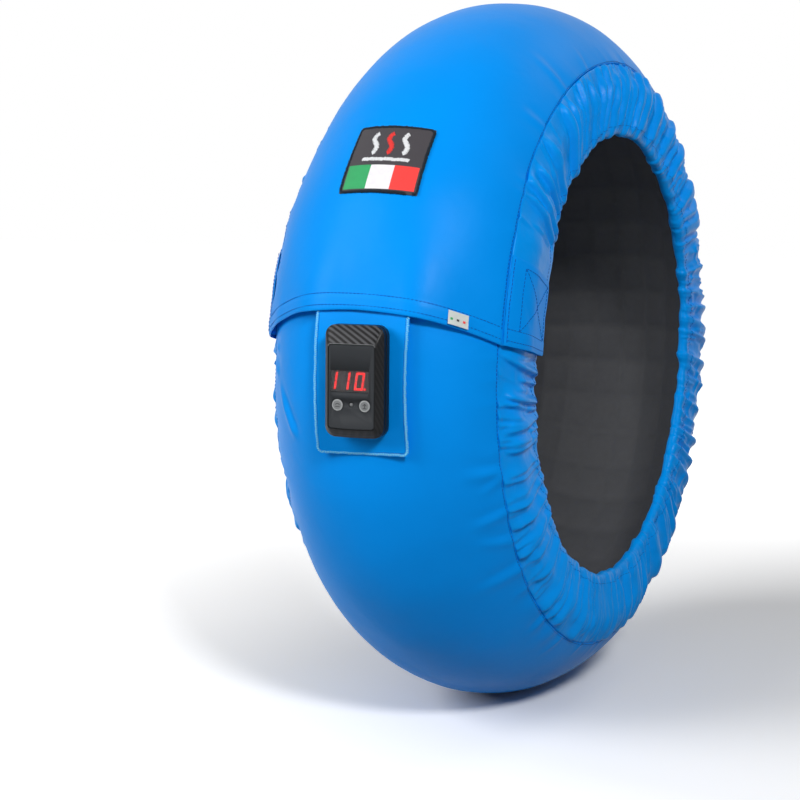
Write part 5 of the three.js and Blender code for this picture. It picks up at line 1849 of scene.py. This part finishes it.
def add_light(name, place, target, power, size):
    """A soft rectangular light that points at a target."""
    data = bpy.data.lights.new(name, "AREA")
    data.energy = power
    data.shape = "RECTANGLE"
    data.size, data.size_y = size
    lamp = bpy.data.objects.new(name, data)
    lamp.location = place
    lamp.rotation_euler = (Vector(target) - Vector(place)).to_track_quat("-Z", "Y").to_euler()
    bpy.context.scene.collection.objects.link(lamp)


def camera_rays(tree):
    """1 for rays that come from the camera or through gloss and glass, and 0 for light on the object."""
    path = node(tree, "ShaderNodeLightPath").outputs
    seen = calculate(tree, "MAXIMUM", path["Is Camera Ray"], path["Is Glossy Ray"])
    return calculate(tree, "MAXIMUM", seen, path["Is Transmission Ray"])


def build_floor():
    """A pale floor. The camera sees it lighter than it is, so that it turns white beyond the shadow."""
    size = FLOOR_SIZE
    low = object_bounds()[0].z - 1.5 * MM
    corners = [(-size, -size, low), (size, -size, low), (size, size, low), (-size, size, low)]
    mesh = mesh_of("floor", corners, [(0, 1, 2, 3)])
    floor = bpy.data.objects.new("floor", mesh)
    bpy.context.scene.collection.objects.link(floor)
    made = bpy.data.materials.new("Pale Floor")
    made.use_nodes = True
    tree = made.node_tree
    tree.nodes.clear()
    seen = camera_rays(tree)
    place = node(tree, "ShaderNodeTexCoord").outputs["Object"]
    centre = {0: place, 1: (*SHADOW_CENTRE, low)}
    reach = node(tree, "ShaderNodeVectorMath", centre, operation="DISTANCE").outputs["Value"]
    start, end = SHADOW_REACH
    glow = node(tree, "ShaderNodeMapRange", {0: reach, 1: start, 2: end, 3: 0.0, 4: FLOOR_GLOW})
    tone = node(tree, "ShaderNodeMapRange", {0: seen, 3: FLOOR_TONE, 4: SEEN_FLOOR_TONE})
    matt = node(tree, "ShaderNodeBsdfDiffuse", {"Color": tone.outputs[0]})
    light = node(tree, "ShaderNodeEmission", {"Strength": calculate(tree, "MULTIPLY", seen, glow.outputs[0])})
    both = node(tree, "ShaderNodeAddShader", {0: matt.outputs[0], 1: light.outputs[0]})
    node(tree, "ShaderNodeOutputMaterial", {"Surface": both.outputs[0]})
    mesh.materials.append(made)
    floor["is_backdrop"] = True


def build_world():
    """White behind the object, and only a little light on it."""
    world = bpy.data.worlds.new("Studio")
    world.use_nodes = True
    tree = world.node_tree
    background = tree.nodes["Background"]
    background.inputs["Color"].default_value = (1, 1, 1, 1)
    strength = node(tree, "ShaderNodeMapRange", {0: camera_rays(tree), 3: WORLD_LIGHT, 4: 1.0})
    tree.links.new(strength.outputs[0], background.inputs["Strength"])
    bpy.context.scene.world = world


def build_camera():
    """A long lens, aimed a little to the left of the axle's middle and below it."""
    studio = bpy.context.scene.warmer_studio
    turn = studio.azimuth
    rise = studio.elevation
    flat = math.cos(rise)
    back = Vector((math.sin(turn) * flat, -math.cos(turn) * flat, math.sin(rise)))
    right = Vector((math.cos(turn), math.sin(turn), 0))
    up = back.cross(right)
    data = bpy.data.cameras.new("camera")
    data.sensor_width = SENSOR_WIDTH
    data.lens = CAMERA_LENS
    camera = bpy.data.objects.new("camera", data)
    camera.location = back * studio.distance
    target = right * CAMERA_AIM[0] + up * CAMERA_AIM[1]
    camera.rotation_euler = (target - camera.location).to_track_quat("-Z", "Y").to_euler()
    bpy.context.scene.collection.objects.link(camera)
    bpy.context.scene.camera = camera


# Operators, panel and registration

class WARMER_OT_cover(bpy.types.Operator):
    """Sew the outer cover and its rows of stitches"""

    bl_idname = "warmer.cover"
    bl_label = "Outer Cover"

    def execute(self, context):
        build_cover()
        build_cover_threads()
        return {"FINISHED"}


class WARMER_OT_skirts(bpy.types.Operator):
    """Gather both side skirts on their elastics"""

    bl_idname = "warmer.skirts"
    bl_label = "Gathered Skirts"

    def execute(self, context):
        for side_name in SIDES:
            build_skirt(side_name)
            build_skirt_threads(side_name)
            build_elastic(side_name)
        return {"FINISHED"}


class WARMER_OT_closure(bpy.types.Operator):
    """Add the corner tabs and every hook-and-loop tape"""

    bl_idname = "warmer.closure"
    bl_label = "Flap Closure"

    def execute(self, context):
        build_closure()
        for side_name in SIDES:
            build_tab(side_name)
            build_tab_threads(side_name)
            build_tab_tapes(side_name)
        return {"FINISHED"}


class WARMER_OT_patches(bpy.types.Operator):
    """Sew on the carrier patch, the label and the ribbon tag"""

    bl_idname = "warmer.patches"
    bl_label = "Patch, Label and Tag"

    def execute(self, context):
        build_patch()
        build_label()
        build_tag()
        return {"FINISHED"}


class WARMER_OT_inside(bpy.types.Operator):
    """Build the insulation, heating tape and quilted lining"""

    bl_idname = "warmer.inside"
    bl_label = "Inside of the Strip"

    def execute(self, context):
        build_inside()
        return {"FINISHED"}


class WARMER_OT_control_unit(bpy.types.Operator):
    """Mould the control unit, with its face, keys and display"""

    bl_idname = "warmer.control_unit"
    bl_label = "Control Unit"

    def execute(self, context):
        build_front_shell()
        build_back_shell()
        build_overlay()
        build_seat()
        build_digits()
        build_buttons()
        build_lamp()
        dress_frame()
        return {"FINISHED"}


class WARMER_OT_stage(bpy.types.Operator):
    """Set up the floor, the lights, the background and the camera"""

    bl_idname = "warmer.stage"
    bl_label = "Studio"

    def execute(self, context):
        studio = context.scene.warmer_studio
        context.scene.view_settings.view_transform = "Standard"
        build_camera()
        build_world()
        build_floor()
        add_light("key", (-1.6, -2.2, 1.3), (0, 0, 0), studio.key_power, (1.5, 1.5))
        add_light("side", (1.75, -2.0, 1.6), (0, 0, 0), studio.side_power, (0.5, 0.5))
        add_light("rim", (0.9, 1.4, 1.9), (0, 0, 0.1), studio.rim_power, (1.2, 0.8))
        return {"FINISHED"}


class WARMER_PT_panel(bpy.types.Panel):
    """Sizes, colours and lights, and a button for each step of the build"""

    bl_idname = "WARMER_PT_panel"
    bl_label = "Tyre Warmer"
    bl_space_type = "VIEW_3D"
    bl_region_type = "UI"
    bl_category = "Tyre Warmer"

    def draw(self, context):
        scene = context.scene
        for group in (scene.warmer_sewing, scene.warmer_colours, scene.warmer_studio):
            box = self.layout.box()
            for name in group.__annotations__:
                box.prop(group, name)
        for operator in OPERATORS:
            self.layout.operator(operator.bl_idname)


OPERATORS = (
    WARMER_OT_inside,
    WARMER_OT_cover,
    WARMER_OT_skirts,
    WARMER_OT_closure,
    WARMER_OT_patches,
    WARMER_OT_control_unit,
    WARMER_OT_stage,
)
GROUPS = {
    "warmer_colours": WarmerColours,
    "warmer_sewing": WarmerSewing,
    "warmer_studio": WarmerStudio,
}


def register():
    for group in GROUPS.values():
        bpy.utils.register_class(group)
    for name, group in GROUPS.items():
        setattr(bpy.types.Scene, name, PointerProperty(type=group))
    for operator in OPERATORS:
        bpy.utils.register_class(operator)
    bpy.utils.register_class(WARMER_PT_panel)


def unregister():
    bpy.utils.unregister_class(WARMER_PT_panel)
    for operator in reversed(OPERATORS):
        bpy.utils.unregister_class(operator)
    for name, group in GROUPS.items():
        delattr(bpy.types.Scene, name)
        bpy.utils.unregister_class(group)


def main():
    register()
    for name in ("inside", "cover", "skirts", "closure", "patches", "control_unit", "stage"):
        getattr(bpy.ops.warmer, name)()


if __name__ == "__main__":
    main()
